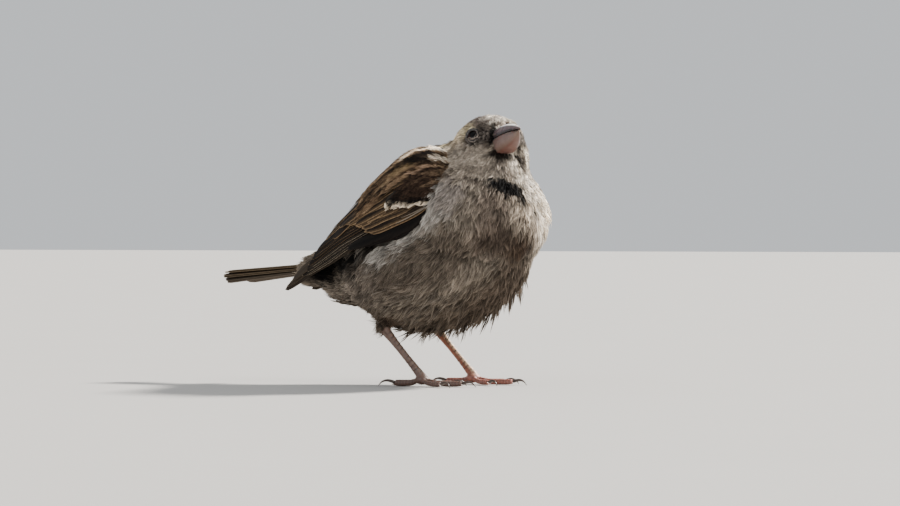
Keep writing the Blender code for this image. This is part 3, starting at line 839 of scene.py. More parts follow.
def growTufts(patch, seed):
    tufts, spacing, changes = sowing[patch.name.removesuffix("Right").removesuffix("Left")]
    modifier = patch.modifiers.new("coat", "NODES")
    modifier.node_group = sowTree
    settings = dict(Tufts=tuftSets[tufts], Spacing=spacing * mm, Seed=seed, Finish=coatFinish, **changes)
    for label, value in settings.items():
        modifier[sowInputs[label]] = value
    settle(patch)
    for spare in ("lie", "coatLength", "coatDepth", "coatWidth", "cover", "rootSpot"):
        if spare in patch.data.attributes:
            patch.data.attributes.remove(patch.data.attributes[spare])
    finishPiece(patch)
    count = sum(len(face.vertices) - 2 for face in patch.data.polygons)
    print("tufts:", patch.name, count, "triangles")
    return count


def growCoat():
    names = list(dict.fromkeys(region[0] for region in coatRegions))
    corners = [list(face.vertices) for face in skin.data.polygons]
    faceCover = np.array([max(cover[v] for v in face) for face in corners])
    first = np.array([face[0] for face in corners])
    owner = np.array([names.index(coatRegions[skinRegion[v]][0]) for v in first])
    total = 0
    for index, name in enumerate(names):
        patch = keepFaces(skin, (owner == index) & (faceCover > 0.02), name)
        total += growTufts(patch, seeds["coat"] + index)
    x, facing = skinPoints[first, 0], skinNormals[first, 2]
    under = (facing < fringeSpan["facing"]) & (x > fringeSpan["behind"]) & (x < fringeSpan["ahead"])
    total += growTufts(keepFaces(skin, under & (faceCover > 0.5), "coatFringe"), seeds["fringe"])
    print("coat in all:", total, "triangles")


growCoat()
finishPiece(skin, skinShape["nodes"])

# single feathers: a closed vane, cambered and thin, laid along a path
vaneLanes = (-1.0, -0.82, -0.45, 0.0, 0.45, 0.82, 1.0)


def vaneStyle(core, edge, rim, sides=1.0, bow=0.0):   # sides is how much of the rim runs along the sides
    return dict(core=(*srgb(*core), 1.0), edge=(*srgb(*edge), 1.0), rim=rim, sides=sides, bow=bow)


class FeatherPile:
    def __init__(self):
        self.verts, self.faces, self.paint, self.count = [], [], {}, 0

    def add(self, centres, across, up, half, vane, style, tone):
        lanes = np.array(vaneLanes)
        loop = np.concatenate([lanes, lanes[-2:0:-1]])
        isUnder = np.arange(len(loop)) >= len(lanes)
        under = np.where(isUnder, vane["thick"] * (1 - loop ** 2) ** 0.5 + 0.01, 0)
        rise = vane["camber"] * (1 - loop ** 2) - vane["droop"] * loop - under
        rows, size = len(centres), len(loop)
        total = rows * size
        spread = (half[:, None] * loop)[:, :, None]
        lift = (rise * np.minimum(1, half / max(half.max(), 1e-6))[:, None])[:, :, None]
        self.verts.append((centres[:, None] + across[:, None] * spread + up[:, None] * lift).reshape(-1, 3))
        along = np.repeat(np.linspace(0, 1, rows), size)
        fields = dict(
            blade=np.c_[np.tile(loop, rows), along, np.full(total, tone)],
            core=np.tile(style["core"], (total, 1)), edge=np.tile(style["edge"], (total, 1)),
            rimWidth=np.full(total, style["rim"]), sideRim=np.full(total, style["sides"]),
            spot=np.full(total, self.count),
        )
        for key, values in fields.items():
            self.paint.setdefault(key, []).append(values)
        base = sum(len(v) for v in self.verts[:-1])
        self.faces += tubeFaces(rows, size, base)
        self.count += 1

    def build(self, name, finish):   # with each feather's own patch of the unwrap
        fields = {key: np.concatenate(values) for key, values in self.paint.items()}
        spot, blade = fields.pop("spot"), fields["blade"]
        mesh = shapeMesh(name, np.concatenate(self.verts), self.faces, finish, **fields)
        columns = math.ceil(math.sqrt(self.count * 4))
        lines = math.ceil(self.count / columns)
        u = (spot % columns + 0.5 + 0.42 * blade[:, 0]) / columns
        v = (spot // columns + 0.04 + 0.92 * blade[:, 1]) / lines
        layer = mesh.uv_layers.new(name="OFBake")
        layer.data.foreach_set("uv", np.c_[u, v][cornerVertices(mesh)].astype(np.float32).ravel())
        faceOut(mesh)
        return newObject(name, mesh)


def vaneMaterial(name, roughness, barbs, streak, ragged, sharp, spread, gloss):
    finish = Finish(name)
    across, along, tone = finish.blade()
    out = finish.calc("ABSOLUTE", across)
    sides = finish.field("sideRim")
    wobble = finish.times(finish.calc("SUBTRACT", finish.noise(1100.0, 4.0, 0.65), 0.5), ragged)
    off = finish.calc("ADD", out, wobble)
    tipward = finish.calc("ADD", finish.line(along, 0.78, 1.0), wobble)
    reach = finish.calc("MAXIMUM", finish.times(off, sides), tipward)
    inRim = finish.calc("SUBTRACT", reach, finish.calc("SUBTRACT", 1.0, finish.field("rimWidth")))
    edgeShare = finish.calc("MULTIPLY", inRim, sharp, clamp=True)
    halfway = finish.times(finish.ramp(off, 0.15, 0.75, 0.0, spread), sides)
    # barbs run out from the shaft towards the tip on both sides
    slant = finish.calc("SUBTRACT", finish.times(along, barbs), finish.times(out, barbs * 0.16))
    lines = finish.node("ShaderNodeCombineXYZ", [slant, finish.times(tone, 50.0)]).outputs[0]
    barbLine = finish.noise(1.0, 4.0, 0.7, at=lines)
    shade = finish.times(
        finish.line(barbLine, 0.3, 0.7, 1 - streak, 1 + streak), finish.line(tone, 0.0, 1.0, 0.74, 1.22),
        finish.ramp(out, 0.0, 0.10, 0.5, 1.0),
    )
    core, edge = finish.field("core", "Color"), finish.field("edge", "Color")
    vane = finish.mix(finish.calc("MAXIMUM", edgeShare, halfway), core, edge)
    return finish.done(
        BaseColor=finish.shaded(vane, shade), Normal=finish.bump(barbLine, 0.5, 0.0001),
        Roughness=roughness, SpecularIORLevel=gloss,
    )


covertFinish = vaneMaterial("wing covert vane", 0.75, 60.0, 0.30, 0.5, 4.5, 0.22, 0.10)
flightFinish = vaneMaterial("flight feather vane", 0.62, 110.0, 0.24, 0.10, 16.0, 0.03, 0.04)

# wings: stations of the folded wing from its bend to its tip, lower edge then upper edge, right side
wing = dict(
    stations=(
        ((14.5, -17.0, 65.5), (11.0, -9.5, 76.0)), ((7.5, -23.5, 60.0), (2.0, -8.0, 80.0)),
        ((-2.0, -26.3, 52.5), (-8.5, -7.0, 79.0)), ((-12.5, -25.9, 47.4), (-20.5, -6.5, 71.2)),
        ((-24.0, -22.6, 44.0), (-32.0, -6.0, 61.0)), ((-36.0, -17.0, 39.4), (-42.0, -6.2, 51.8)),
        ((-47.5, -12.6, 35.6), (-50.0, -8.2, 43.0)), ((-59.4, -9.3, 31.4), (-58.4, -8.9, 33.4)),
    ),
    vane=dict(camber=0.22, thick=0.14, droop=0.16), outside=(0, 1, 0.6), seeds={-1: 7, 1: 19},
    slots=dict(primaries="flight_feather", secondaries="wing_feather", coverts="wing_feather"),
)
stationPoints = np.array(wing["stations"])


def alongStations(row, s):   # a smooth curve through the stations' lower or upper ends
    last = len(stationPoints) - 1
    index = np.minimum((s * last).astype(int), last - 1)
    f = (s * last - index)[:, None]
    a, b, c, d = (stationPoints[np.clip(index + step, 0, last), row] for step in (-1, 0, 1, 2))
    square, cube = 2 * a - 5 * b + 4 * c - d, 3 * b - 3 * c + d - a
    return 0.5 * (2 * b + (c - a) * f + square * f ** 2 + cube * f ** 3)


def wingSurface(s, c, side):   # the folded wing's outside: s from bend to tip, c from lower to upper edge
    s = np.clip(s, 0, 1)
    lower, upper = alongStations(0, s), alongStations(1, s)
    bend = c * math.pi / 2
    x = lower[:, 0] + (upper[:, 0] - lower[:, 0]) * c
    y = upper[:, 1] + (lower[:, 1] - upper[:, 1]) * np.cos(bend)
    z = lower[:, 2] + (upper[:, 2] - lower[:, 2]) * np.sin(bend)
    return np.c_[x, -side * y, z]


def wingOutside(side):
    return np.array(wing["outside"]) * (1, side, 1)


def vaneWidth(t, half, rounding, root=0.3):
    grown = np.minimum(1, 0.3 + 0.7 * smoothStep(0, root, t))
    cut = np.clip((t - (1 - rounding)) / rounding, 0, 1)
    return np.maximum(half * grown * np.sqrt(np.maximum(1 - cut ** 2.2, 0)), 0.05)


def wingFeather(pile, side, root, tip, shape, height, style, rng):
    rows, half, rounding = shape
    t = np.linspace(0, 1, rows)
    s, c = between((root[0], tip[0]), t), between((root[1], tip[1]), t)
    slope = (tip[1] - root[1]) * 0.004 / max(tip[0] - root[0], 0.01)
    forward = unit(wingSurface(s + 0.004, c + slope, side) - wingSurface(s - 0.004, c - slope, side))
    level = np.clip(c, 0, 1)
    wider = unit(wingSurface(s, level + 0.01, side) - wingSurface(s, level - 0.01, side))
    up = turnedTo(unit(np.cross(wider, forward)), wingOutside(side))
    across = turnedTo(unit(np.cross(forward, up)) * (1 if side < 0 else -1), wider)
    centres = wingSurface(s, c, side) + up * between(height, t)[:, None]
    width = vaneWidth(t, half * rng.uniform(0.88, 1.10), rounding)
    width = width * (1 + 0.06 * np.sin(t * rng.uniform(9, 16) + rng.uniform(0, 6)))
    pile.add(centres, across, up, width, wing["vane"], style, rng.random())


# each tract: its piece and number of feathers, the lines their roots and tips follow (bend to tip, lower
# to upper), their rows, half width and rounding, and their roots' and tips' heights over the surface
wingTracts = [
    ("primaries", 3, ((0.42, 0.08), (0.43, 0.14)), ((1.0, 0.24), (0.955, 0.52)), (26, 1.8, 0.20),
     (-2.0, -1.4, -0.7, -0.45), vaneStyle((52, 45, 38), (96, 84, 70), 0.10)),
    ("primaries", 4, ((0.40, 0.11), (0.42, 0.18)), ((0.885, 0.20), (0.855, 0.36)), (24, 1.5, 0.16),
     (-1.8, -0.95, -0.5, -0.40), vaneStyle((22, 17, 14), (204, 188, 164), 0.075, bow=0.02)),
    ("primaries", 4, ((0.42, 0.21), (0.44, 0.29)), ((0.85, 0.42), (0.79, 0.64)), (24, 1.7, 0.16),
     (-0.9, -0.75, -0.35, -0.25), vaneStyle((22, 17, 14), (136, 114, 89), 0.09)),
    ("secondaries", 9, ((0.36, 0.22), (0.34, 0.50)), ((0.80, 0.46), (0.69, 0.84)), (20, 2.2, 0.14),
     (-1.4, -0.55, -0.7, -0.1), vaneStyle((35, 27, 21), (166, 139, 108), 0.15)),
    ("secondaries", 5, ((0.30, 0.42), (0.28, 0.74)), ((0.675, 0.50), (0.56, 0.90)), (18, 3.1, 0.26),
     (-0.8, -0.1, -0.4, 0.1), vaneStyle((28, 21, 16), (156, 129, 98), 0.16)),
    ("coverts", 9, ((0.12, -0.03), (0.34, 0.05)), ((0.34, -0.01), (0.575, 0.10)), (14, 1.55, 0.40),
     (-0.9, -0.5, -0.9, -0.45), vaneStyle((12, 9, 8), (40, 32, 27), 0.12)),
    ("coverts", 14, ((0.11, 0.03), (0.33, 0.40)), ((0.45, 0.13), (0.60, 0.49)), (18, 1.55, 0.22),
     (-0.7, -0.2, -0.35, 0.1), vaneStyle((26, 19, 14), (142, 117, 88), 0.28)),
    ("coverts", 2, ((0.12, 0.012), (0.15, 0.02)), ((0.275, 0.078), (0.30, 0.086)), (14, 0.17, 0.5),
     (0.1, 0.2, -0.1, 0.0), vaneStyle((128, 118, 106), (140, 130, 118), 0.3)),
    ("coverts", 8, ((0.03, 0.06), (0.25, 0.36)), ((0.145, 0.055), (0.362, 0.270)), (14, 1.9, 0.40),
     (-0.35, 0.05, -0.1, 0.30), vaneStyle((11, 8, 7), (224, 208, 185), 0.62, sides=0.10)),
    ("coverts", 6, ((0.26, 0.46), (0.20, 0.90)), ((0.485, 0.42), (0.47, 0.92)), (14, 2.8, 0.34),
     (-0.1, 0.2, -0.05, 0.2), vaneStyle((26, 18, 14), (112, 92, 68), 0.20)),
    ("coverts", 6, ((0.16, 0.46), (0.10, 0.92)), ((0.37, 0.43), (0.35, 0.94)), (13, 2.7, 0.36),
     (-0.1, 0.2, -0.1, 0.1), vaneStyle((28, 20, 15), (118, 96, 70), 0.24)),
    ("coverts", 6, ((0.06, 0.50), (0.02, 0.94)), ((0.25, 0.455), (0.24, 0.95)), (12, 2.5, 0.38),
     (-0.1, 0.2, -0.1, 0.1), vaneStyle((28, 20, 15), (126, 104, 78), 0.24)),
    ("coverts", 5, ((-0.03, 0.55), (-0.04, 0.95)), ((0.14, 0.50), (0.13, 0.96)), (11, 2.3, 0.4),
     (-0.1, 0.1, -0.1, 0.0), vaneStyle((34, 26, 20), (140, 118, 90), 0.28)),
    ("coverts", 7, ((-0.03, 0.12), (0.14, 0.42)), ((0.09, 0.14), (0.26, 0.36)), (10, 2.2, 0.5),
     (-0.6, -0.3, -0.5, -0.3), vaneStyle((22, 16, 13), (40, 30, 25), 0.2)),
]


def makeWing(side, sideName):
    rng = random.Random(wing["seeds"][side])
    piles = {part: FeatherPile() for part in wing["slots"]}
    for part, count, roots, tips, shape, heights, style in wingTracts:
        for index in range(count):
            share = index / (count - 1)
            root, tip = between(np.array(roots), share), between(np.array(tips), share)
            bow = style["bow"] * math.sin(math.pi * min(1, share * 1.2))
            tip = (min(tip[0] + bow + rng.uniform(-0.010, 0.010), 1.0), tip[1] + rng.uniform(-0.014, 0.014))
            low = between(heights[:2], share * 0.6)
            high = between(heights[2:], share) + rng.uniform(-0.06, 0.1)
            wingFeather(piles[part], side, root, tip, shape, (low, high), style, rng)
    for part, slot in wing["slots"].items():
        finish = covertFinish if part == "coverts" else flightFinish
        finishPiece(piles[part].build(part + sideName, finish), [f"wing_{part}_{sideName.lower()}"])
        print("wing:", part + sideName, piles[part].count, "feathers")


# soft streaked shoulder feathers that lie over the wing's upper part and hide its vanes' edges: scapulars
# above the seam and coverts below it, which end at the bar's lower edge (its height, then how far along)
shoulder = dict(
    along=(0.0, 0.54), up=(0.02, 0.99), grid=(72, 60), sink=(-0.30, 0.10), length=4.6, depth=0.95, width=0.80,
    seam=((0.0, 0.50), (0.125, 0.46), (0.233, 0.405), (0.33, 0.375), (0.42, 0.34), (0.54, 0.33)),
    bar=((0.0, 0.122), (0.05, 0.157), (0.105, 0.210), (0.165, 0.271), (0.21, 0.320), (0.25, 0.366),
         (0.28, 0.342), (0.33, 0.305), (0.40, 0.27), (0.5, 0.2)),
    barWidth=0.021, barTop=0.265, covertSize=0.42, tipReach=0.86 / 85, size=(87.0, 35.0, 0.0),
    white=srgb(210, 193, 170), black=srgb(12, 9, 8), oval=srgb(52, 39, 31), lesser=srgb(98, 80, 63),
    brown=srgb(104, 83, 63), dark=srgb(22, 16, 12), pale=srgb(150, 126, 98),
    strokes=[   # start, end, width, colour, strength
        # the first stroke: a pale brace, made near white with painted sunlight
        ((0.06, 0.97), (0.17, 0.84), 2.6, (255, 244, 226), 1.0),
        ((0.18, 0.82), (0.31, 0.745), 1.5, (246, 226, 200), 0.95),
        ((0.32, 0.735), (0.44, 0.71), 1.0, (178, 150, 120), 0.8),
        ((0.165, 0.71), (0.27, 0.655), 0.9, (14, 10, 8), 0.95),
        ((0.19, 0.615), (0.24, 0.60), 1.9, (20, 15, 11), 0.95),
        ((0.28, 0.655), (0.44, 0.62), 0.9, (22, 16, 12), 0.9),
        ((0.25, 0.545), (0.34, 0.56), 1.3, (116, 97, 68), 0.6),
        ((0.14, 0.485), (0.24, 0.445), 1.1, (158, 130, 106), 0.85),
        ((0.25, 0.44), (0.37, 0.425), 0.9, (134, 110, 86), 0.8),
        ((0.08, 0.64), (0.135, 0.60), 1.8, (226, 210, 188), 0.85),
    ],
)


def overSeam(s, c):
    return c - tableAt(shoulder["seam"], s)


def shoulderColour(s, c, side):   # s and c of the tufts' tips
    streak = noiseAt(Vector((a * 5.0, b * 34.0, 3.0 + side)) for a, b in zip(s, c))
    tooth = noiseAt(Vector((b * 42.0, 7.0, side)) for b in c)
    colour = blend(shoulder["brown"], shoulder["dark"], smoothStep(-0.02, 0.14, streak))
    colour = blend(colour, shoulder["pale"], smoothStep(-0.14, -0.32, streak))
    spread = np.array(shoulder["size"])
    for start, end, width, paint, strength in shoulder["strokes"]:
        ends = [np.array([*spot, 0.0]) * spread for spot in (start, end)]
        off = strokeDistance(np.c_[s, c, np.zeros(len(s))] * spread, *ends) + 1.6 * streak
        colour = blend(colour, srgb(*paint), (1 - smoothStep(0.7, 1.15, off / width)) * strength)
    short = tableAt(shoulder["bar"], c) - s   # how far short of the bar's lower edge
    coverts = blend(shoulder["lesser"], shoulder["oval"], smoothStep(0.06, 0.14, s + 0.3 * streak))
    coverts = blend(coverts, shoulder["black"], smoothStep(0.085, 0.05, short) * smoothStep(0.34, 0.26, c))
    barWidth = shoulder["barWidth"] * (1 - 0.42 * np.exp(-(((c - 0.16) / 0.028) ** 2)))
    inBar = smoothStep(barWidth * 1.25, barWidth * 0.8, short + 0.012 * tooth + 0.014 * streak)
    inBar = inBar * smoothStep(shoulder["barTop"] + 0.02, shoulder["barTop"] - 0.01, c)
    coverts = blend(coverts, shoulder["white"], inBar)
    return blend(colour, coverts, smoothStep(0.02, -0.02, overSeam(s, c)))


def makeShoulder(side, sideName):
    cols, rows = shoulder["grid"]
    lines = [np.linspace(*shoulder[way], number) for way, number in (("along", cols), ("up", rows))]
    s, c = (a.ravel() for a in np.meshgrid(*lines, indexing="ij"))
    forward = unit(wingSurface(s + 0.006, c, side) - wingSurface(np.maximum(s - 0.006, 0), c, side))
    wider = wingSurface(s, c + 0.01, side) - wingSurface(s, c - 0.01, side)
    outward = turnedTo(unit(np.cross(forward, wider)), wingOutside(side))
    above = overSeam(s, c)
    below = smoothStep(0.02, -0.02, above)
    points = wingSurface(s, c, side) + outward * between(shoulder["sink"], below)[:, None]
    corners = [i * rows + j for i in range(cols - 1) for j in range(rows - 1)]
    faces = [(a, a + rows, a + rows + 1, a + 1) for a in corners]
    if side < 0:
        faces = [face[::-1] for face in faces]
    name = "shoulderTufts" + sideName
    mesh = shapeMesh(name, points, faces)
    if (meshArrays(mesh)[1] * outward).sum(1).mean() < 0:
        mesh.flip_normals()
    size = 1.0 - shoulder["covertSize"] * smoothStep(0.04, -0.04, above)
    tipAt = s + size * shoulder["length"] * shoulder["tipReach"]
    scapular = smoothStep(0.01, 0.03, above) * smoothStep(0.50, 0.44, s) * smoothStep(1.0, 0.97, c)
    covert = below * (tipAt < tableAt(shoulder["bar"], c)) * smoothStep(0.02, 0.05, c)
    sizes = [size * shoulder[key] for key in ("length", "depth", "width")]
    coatAttributes(mesh, forward, *sizes, np.maximum(scapular, covert), shoulderColour(tipAt, c, side))
    spots = [(a - a.min()) / np.ptp(a) * 0.94 + 0.03 for a in (s, c)]
    setAttribute(mesh, "rootSpot", np.c_[(*spots, np.zeros(len(s)))][cornerVertices(mesh)], "CORNER")
    growTufts(newObject(name, mesh), seeds["shoulder"] + side)


for side, sideName in sides:
    makeWing(side, sideName)
    makeShoulder(side, sideName)

# tail: twelve feathers folded into a shallow roof in three layers, the middle pair on top
tail = dict(
    x=(43.0, 58.0, 89.0), z=(42.6, 40.6, 38.4), half=3.0, spread=(0.5, 1.05), layer=0.86, step=0.10, roof=3.0,
    reach=7.4, rounding=0.10, shorter=(0.02, 0.0, 0.008, 0.02, 0.05, 0.08), perPair=0.62, seed=5,
    vane=dict(camber=0.12, thick=0.5, droop=0.0),
    layers=(
        vaneStyle((76, 63, 50), (120, 103, 82), 0.15),
        vaneStyle((72, 60, 48), (116, 100, 80), 0.16),
        vaneStyle((66, 57, 48), (98, 87, 74), 0.16),
    ),
    pieces=dict(tailMiddle="tail_centre", tailRight="tail_side_right", tailLeft="tail_side_left"),
)


def makeTail():
    rng = random.Random(tail["seed"])
    piles = {name: FeatherPile() for name in tail["pieces"]}
    t = np.linspace(0, 1, 26)
    for pair in range(5, -1, -1):
        for side in (1, -1):
            x = -tail["x"][0] + (tail["x"][0] - tail["x"][2]) * t * (1.0 - tail["shorter"][pair])
            lateral = tail["spread"][0] * (0.7 + pair * tail["perPair"])
            lateral = side * (lateral + tail["spread"][1] * pair * tail["perPair"] * t)
            share = lateral / tail["reach"]
            z = np.interp(-x, tail["x"], tail["z"]) - tail["roof"] * share ** 2
            z = z - tail["layer"] * (pair // 2) * (0.5 + 0.5 * t) - tail["step"] * (pair % 2) - 0.15
            centres = np.c_[x, lateral, z]
            forward = unit(np.gradient(centres, axis=0))
            tilt = math.atan(2 * tail["roof"] * abs(share[-1]) / tail["reach"]) * side
            across = np.tile((0.0, math.cos(tilt), -math.sin(tilt)), (len(t), 1))
            up = turnedTo(unit(np.cross(forward, across)), (0, 0, 1))
            width = vaneWidth(t, tail["half"] * rng.uniform(0.95, 1.05), tail["rounding"], 0.35)
            pile = piles["tailMiddle" if pair < 2 else ("tailLeft" if side > 0 else "tailRight")]
            pile.add(centres, across, up, width, tail["vane"], tail["layers"][pair // 2], rng.random())
    for name, node in tail["pieces"].items():
        finishPiece(piles[name].build(name, flightFinish), [node])
    print("tail: 12 feathers")


makeTail()

# bill: two mandibles with a keeled profile, in the bill's own axes
bill = dict(
    base=(7.6, 0.0, -1.5), droop=-5.0, gap=0.08, line=0.9, grid=(34, 26),
    nostril=dict(along=0.20, long=0.045, out=0.66, wide=0.10, deep=0.45),
    mandibles=dict(   # which way, then length, depth and width, the outline's curves, the section's, the node
        upperMandible=(1, (15.7, 5.4, 4.1), (2.1, 1.5), (0.85, 1.0), "bill_upper"),
        lowerMandible=(-1, (14.5, 3.8, 4.018), (3.8, 2.0), (0.34, 0.7), "bill_lower"),
    ),
    horn=dict(   # side, cutting edge, keel and tip, then roughness
        # the upper's keel colour is a painted highlight along the culmen; the lower's is its own redder keel
        upperMandible=("upper bill horn", (92, 76, 78), (34, 27, 29), (255, 246, 242), (96, 78, 78), 0.30),
        lowerMandible=("lower bill horn", (113, 90, 80), (116, 94, 87), (110, 76, 68), (112, 92, 78), 0.4),
    ),
)
billTurn = np.array(Matrix.Rotation(math.radians(-bill["droop"]), 3, "Y"))


def billMaterial(name, side, edge, ridge, tip, roughness):
    finish = Finish(name)
    along, height, _ = finish.blade()
    base = srgb(*side)
    mottle = finish.noise(700.0, 5.0, 0.6)
    wobble = finish.times(finish.calc("SUBTRACT", mottle, 0.5), 0.3)
    level, forward = finish.calc("ADD", height, wobble), finish.calc("ADD", along, wobble)
    layers = (
        (finish.ramp(level, 0.10, 0.38, 1.0, 0.0), srgb(*edge)),
        # the keel colour: a painted highlight on the upper's culmen
        (finish.ramp(level, 0.68, 0.90), srgb(*ridge)),
        (finish.ramp(forward, 0.72, 1.0, 0.0, 0.85), srgb(*tip)),
        (finish.times(finish.ramp(mottle, 0.35, 0.7), 0.28), tuple(v * 0.6 for v in base)),
        (finish.ramp(forward, 0.0, 0.22, 0.75, 0.0), tuple(v * 0.35 for v in base)),
    )
    colour = base
    for share, layer in layers:
        colour = finish.mix(share, colour, layer)
    return finish.done(
        BaseColor=colour, Normal=finish.bump(finish.noise(2600.0, 3.0, 0.6), 0.25, 0.00006),
        Roughness=finish.line(mottle, 0.3, 0.7, roughness - 0.08, roughness + 0.08),
        SubsurfaceWeight=0.12, SubsurfaceScale=0.001,
    )


def makeMandible(name, up, size, curves, corners, node):
    rows, columns = bill["grid"]
    length, depth, width = size
    nostril = bill["nostril"]
    verts, blade = [], []
    for row in range(rows):
        t = row / (rows - 1) * 0.992
        keel = (depth - up * bill["line"]) * (1 - t ** curves[0]) ** 0.85
        half = width * (1 - t ** curves[1]) ** 0.9
        edge = bill["line"] + up * bill["gap"] - 0.7 * t ** 3 - 0.35 * (1 - t) ** 3
        for angle in (math.pi * index / (columns - 1) for index in range(columns)):
            out = math.cos(angle)
            y = half * math.copysign(abs(out) ** corners[1], out)
            if up > 0:   # a small pit for the nostril, close to the base
                spot = (t - nostril["along"]) / nostril["long"], (abs(out) - nostril["out"]) / nostril["wide"]
                y -= nostril["deep"] * math.exp(-(spot[0] ** 2 + spot[1] ** 2)) * np.sign(out)
            verts.append((length * t, y, edge + up * max(math.sin(angle), 0.0) ** corners[0] * keel))
            blade.append((t, math.sin(angle), 0.0))
        for index in range(1, columns - 1):   # the flat biting side
            out = math.cos(math.pi - math.pi * index / (columns - 1))
            verts.append((length * t, half * out * 0.98, edge + up * 0.05))
            blade.append((t, 0.0, 1.0))
    local = np.array(verts) @ billTurn.T + np.array(bill["base"])
    finish = billMaterial(*bill["horn"][name])
    mesh = shapeMesh(name, headToBody(local), tubeFaces(rows, 2 * columns - 2), finish, blade=blade)
    faceOut(mesh)
    finishPiece(newObject(name, mesh), [node])


for name, settings in bill["mandibles"].items():
    makeMandible(name, *settings)
print("bill: two mandibles")

# eyes: a dark glossy ball behind half-closed, wrinkled lids; its axis points forward and out
lid = dict(
    radius=3.22, reach=1.42, opening=(1.42, 1.18), corner=1.15, cornerWidth=0.24, tilt=22.0, folds=3.2,
    foldHeight=0.30, wall=0.14, rim=0.16, tucked=0.55, grid=(37, 128), ballGrid=(25, 48),
)


def eyeMaterial():
    finish = Finish("dark eye")
    speck = finish.ramp(finish.noise(1800.0, 3.0), 0.3, 0.7)
    iris = finish.mix(speck, srgb(36, 26, 25), srgb(58, 42, 40))
    pupil = finish.ramp(finish.blade()[0], 0.34, 0.40)
    return finish.done(
        BaseColor=finish.mix(pupil, srgb(3, 3, 3), iris), Roughness=0.10, SpecularIORLevel=0.07,
        CoatWeight=0.06, CoatRoughness=0.03,
    )


def lidMaterial():
    finish = Finish("wrinkled eyelid")
    height = finish.blade()[1]
    speck = finish.noise(2400.0, 3.0, 0.6)
    # painted shade in the folds' troughs, and painted highlights with pale specks on their crests
    colour = finish.mix(finish.ramp(height, 0.35, 0.95), srgb(13, 11, 10), srgb(122, 110, 101))
    pale = finish.times(finish.ramp(speck, 0.56, 0.68, 0.0, 0.8), finish.ramp(height, 0.5, 1.0))
    return finish.done(
        BaseColor=finish.mix(pale, colour, srgb(196, 186, 172)), Normal=finish.bump(speck, 0.5, 0.0001),
        Roughness=0.55,
    )


def polarShell(name, side, radius, grid, shape, finish, closed):   # rings about the eye's outward axis
    rings, around = grid
    centre = (np.array(eyeSpot["at"]) + eyeSpot["sunk"][side]) * (1, side, 1)
    axis = unit(np.array(eyeSpot["axis"][side]))
    front = unit(np.array((1.0, 0, 0)) - axis * axis[0])
    crown = np.cross(front, axis)
    crown *= np.sign(crown[2])
    verts, blade = [], []
    for ring in range(rings):
        for step in range(around):
            turn = 2 * math.pi * step / around
            angle, swell, height = shape(ring / (rings - 1), turn)
            flat = front * math.cos(turn) + crown * math.sin(turn)
            verts.append(centre + (axis * math.cos(angle) + flat * math.sin(angle)) * (radius + swell))
            blade.append((angle, height, turn))
    faces = tubeFaces(rings, around, ends=False)
    if side > 0:
        faces = [(face[0], *face[:0:-1]) for face in faces]
    mesh = shapeMesh(name, headToBody(np.array(verts)), faces, finish, blade=blade)
    bm = openMesh(mesh)
    bmesh.ops.remove_doubles(bm, verts=bm.verts, dist=1e-6)
    if closed:
        bmesh.ops.holes_fill(bm, edges=[e for e in bm.edges if e.is_boundary], sides=0)
        bmesh.ops.recalc_face_normals(bm, faces=bm.faces)
    middle = Vector(toFrame(headToBody(centre[None]))[0])
    if sum((face.calc_center_median() - middle).dot(face.normal) for face in bm.faces) < 0:
        bmesh.ops.reverse_faces(bm, faces=bm.faces)
    return newObject(name, closeMesh(bm, mesh))


def eyeShape(share, turn):
    angle = math.pi * share
    return angle, 0.06 * math.exp(-((angle / 0.7) ** 2)), 0.0


def lidShape(share, turn):
    turned = turn - math.radians(lid["tilt"])
    wide, tall = (size / lid["radius"] for size in lid["opening"])
    almond = 1 / math.sqrt((math.cos(turned) / wide) ** 2 + (math.sin(turned) / tall) ** 2)
    away = abs(turned % (2 * math.pi) - math.pi)   # from the pointed rear corner
    almond += lid["corner"] / lid["radius"] * math.exp(-((away / lid["cornerWidth"]) ** 2))
    angle = between((almond, lid["reach"]), share)
    lower = 0.5 - 0.5 * math.sin(turned)   # the lower lid is the more wrinkled one
    waves = 0.6 * math.sin(2 * turn) + 0.45 * math.sin(5 * turn + 1) + 0.3 * math.sin(11 * turn + 5 * share)
    fold = abs(math.sin(math.pi * lid["folds"] * share + waves)) ** 0.8
    beads = 0.5 + 0.5 * math.sin(17 * turn + 2.2 * math.sin(3 * turn) + 3 * share * lid["folds"])
    fold = fold * (0.72 + 0.28 * beads)
    rim = math.exp(-((share / 0.07) ** 2)) * lid["rim"]
    edge = lid["tucked"] * smoothStep(0.78, 1.0, share)
    swell = lid["foldHeight"] * fold * (0.45 + 0.75 * lower) + rim - edge
    return angle, float(swell), float(max(0.0, fold - 0.25 * (1 - lower)))


eyeFinish, lidFinish = eyeMaterial(), lidMaterial()
for side, sideName in sides:
    radius = eyeSpot["radius"] - eyeSpot["fit"]
    ball = polarShell("eyeball" + sideName, side, radius, lid["ballGrid"], eyeShape, eyeFinish, True)
    finishPiece(ball, ["eye_" + sideName.lower()])
    radius = lid["radius"] - eyeSpot["fit"]
    lids = polarShell("eyelids" + sideName, side, radius, lid["grid"], lidShape, lidFinish, False)
    wall = lids.modifiers.new("lid wall", "SOLIDIFY")
    wall.thickness, wall.offset = lid["wall"] * mm, -1
    finishPiece(settle(lids))
print("eyes: balls and lids")

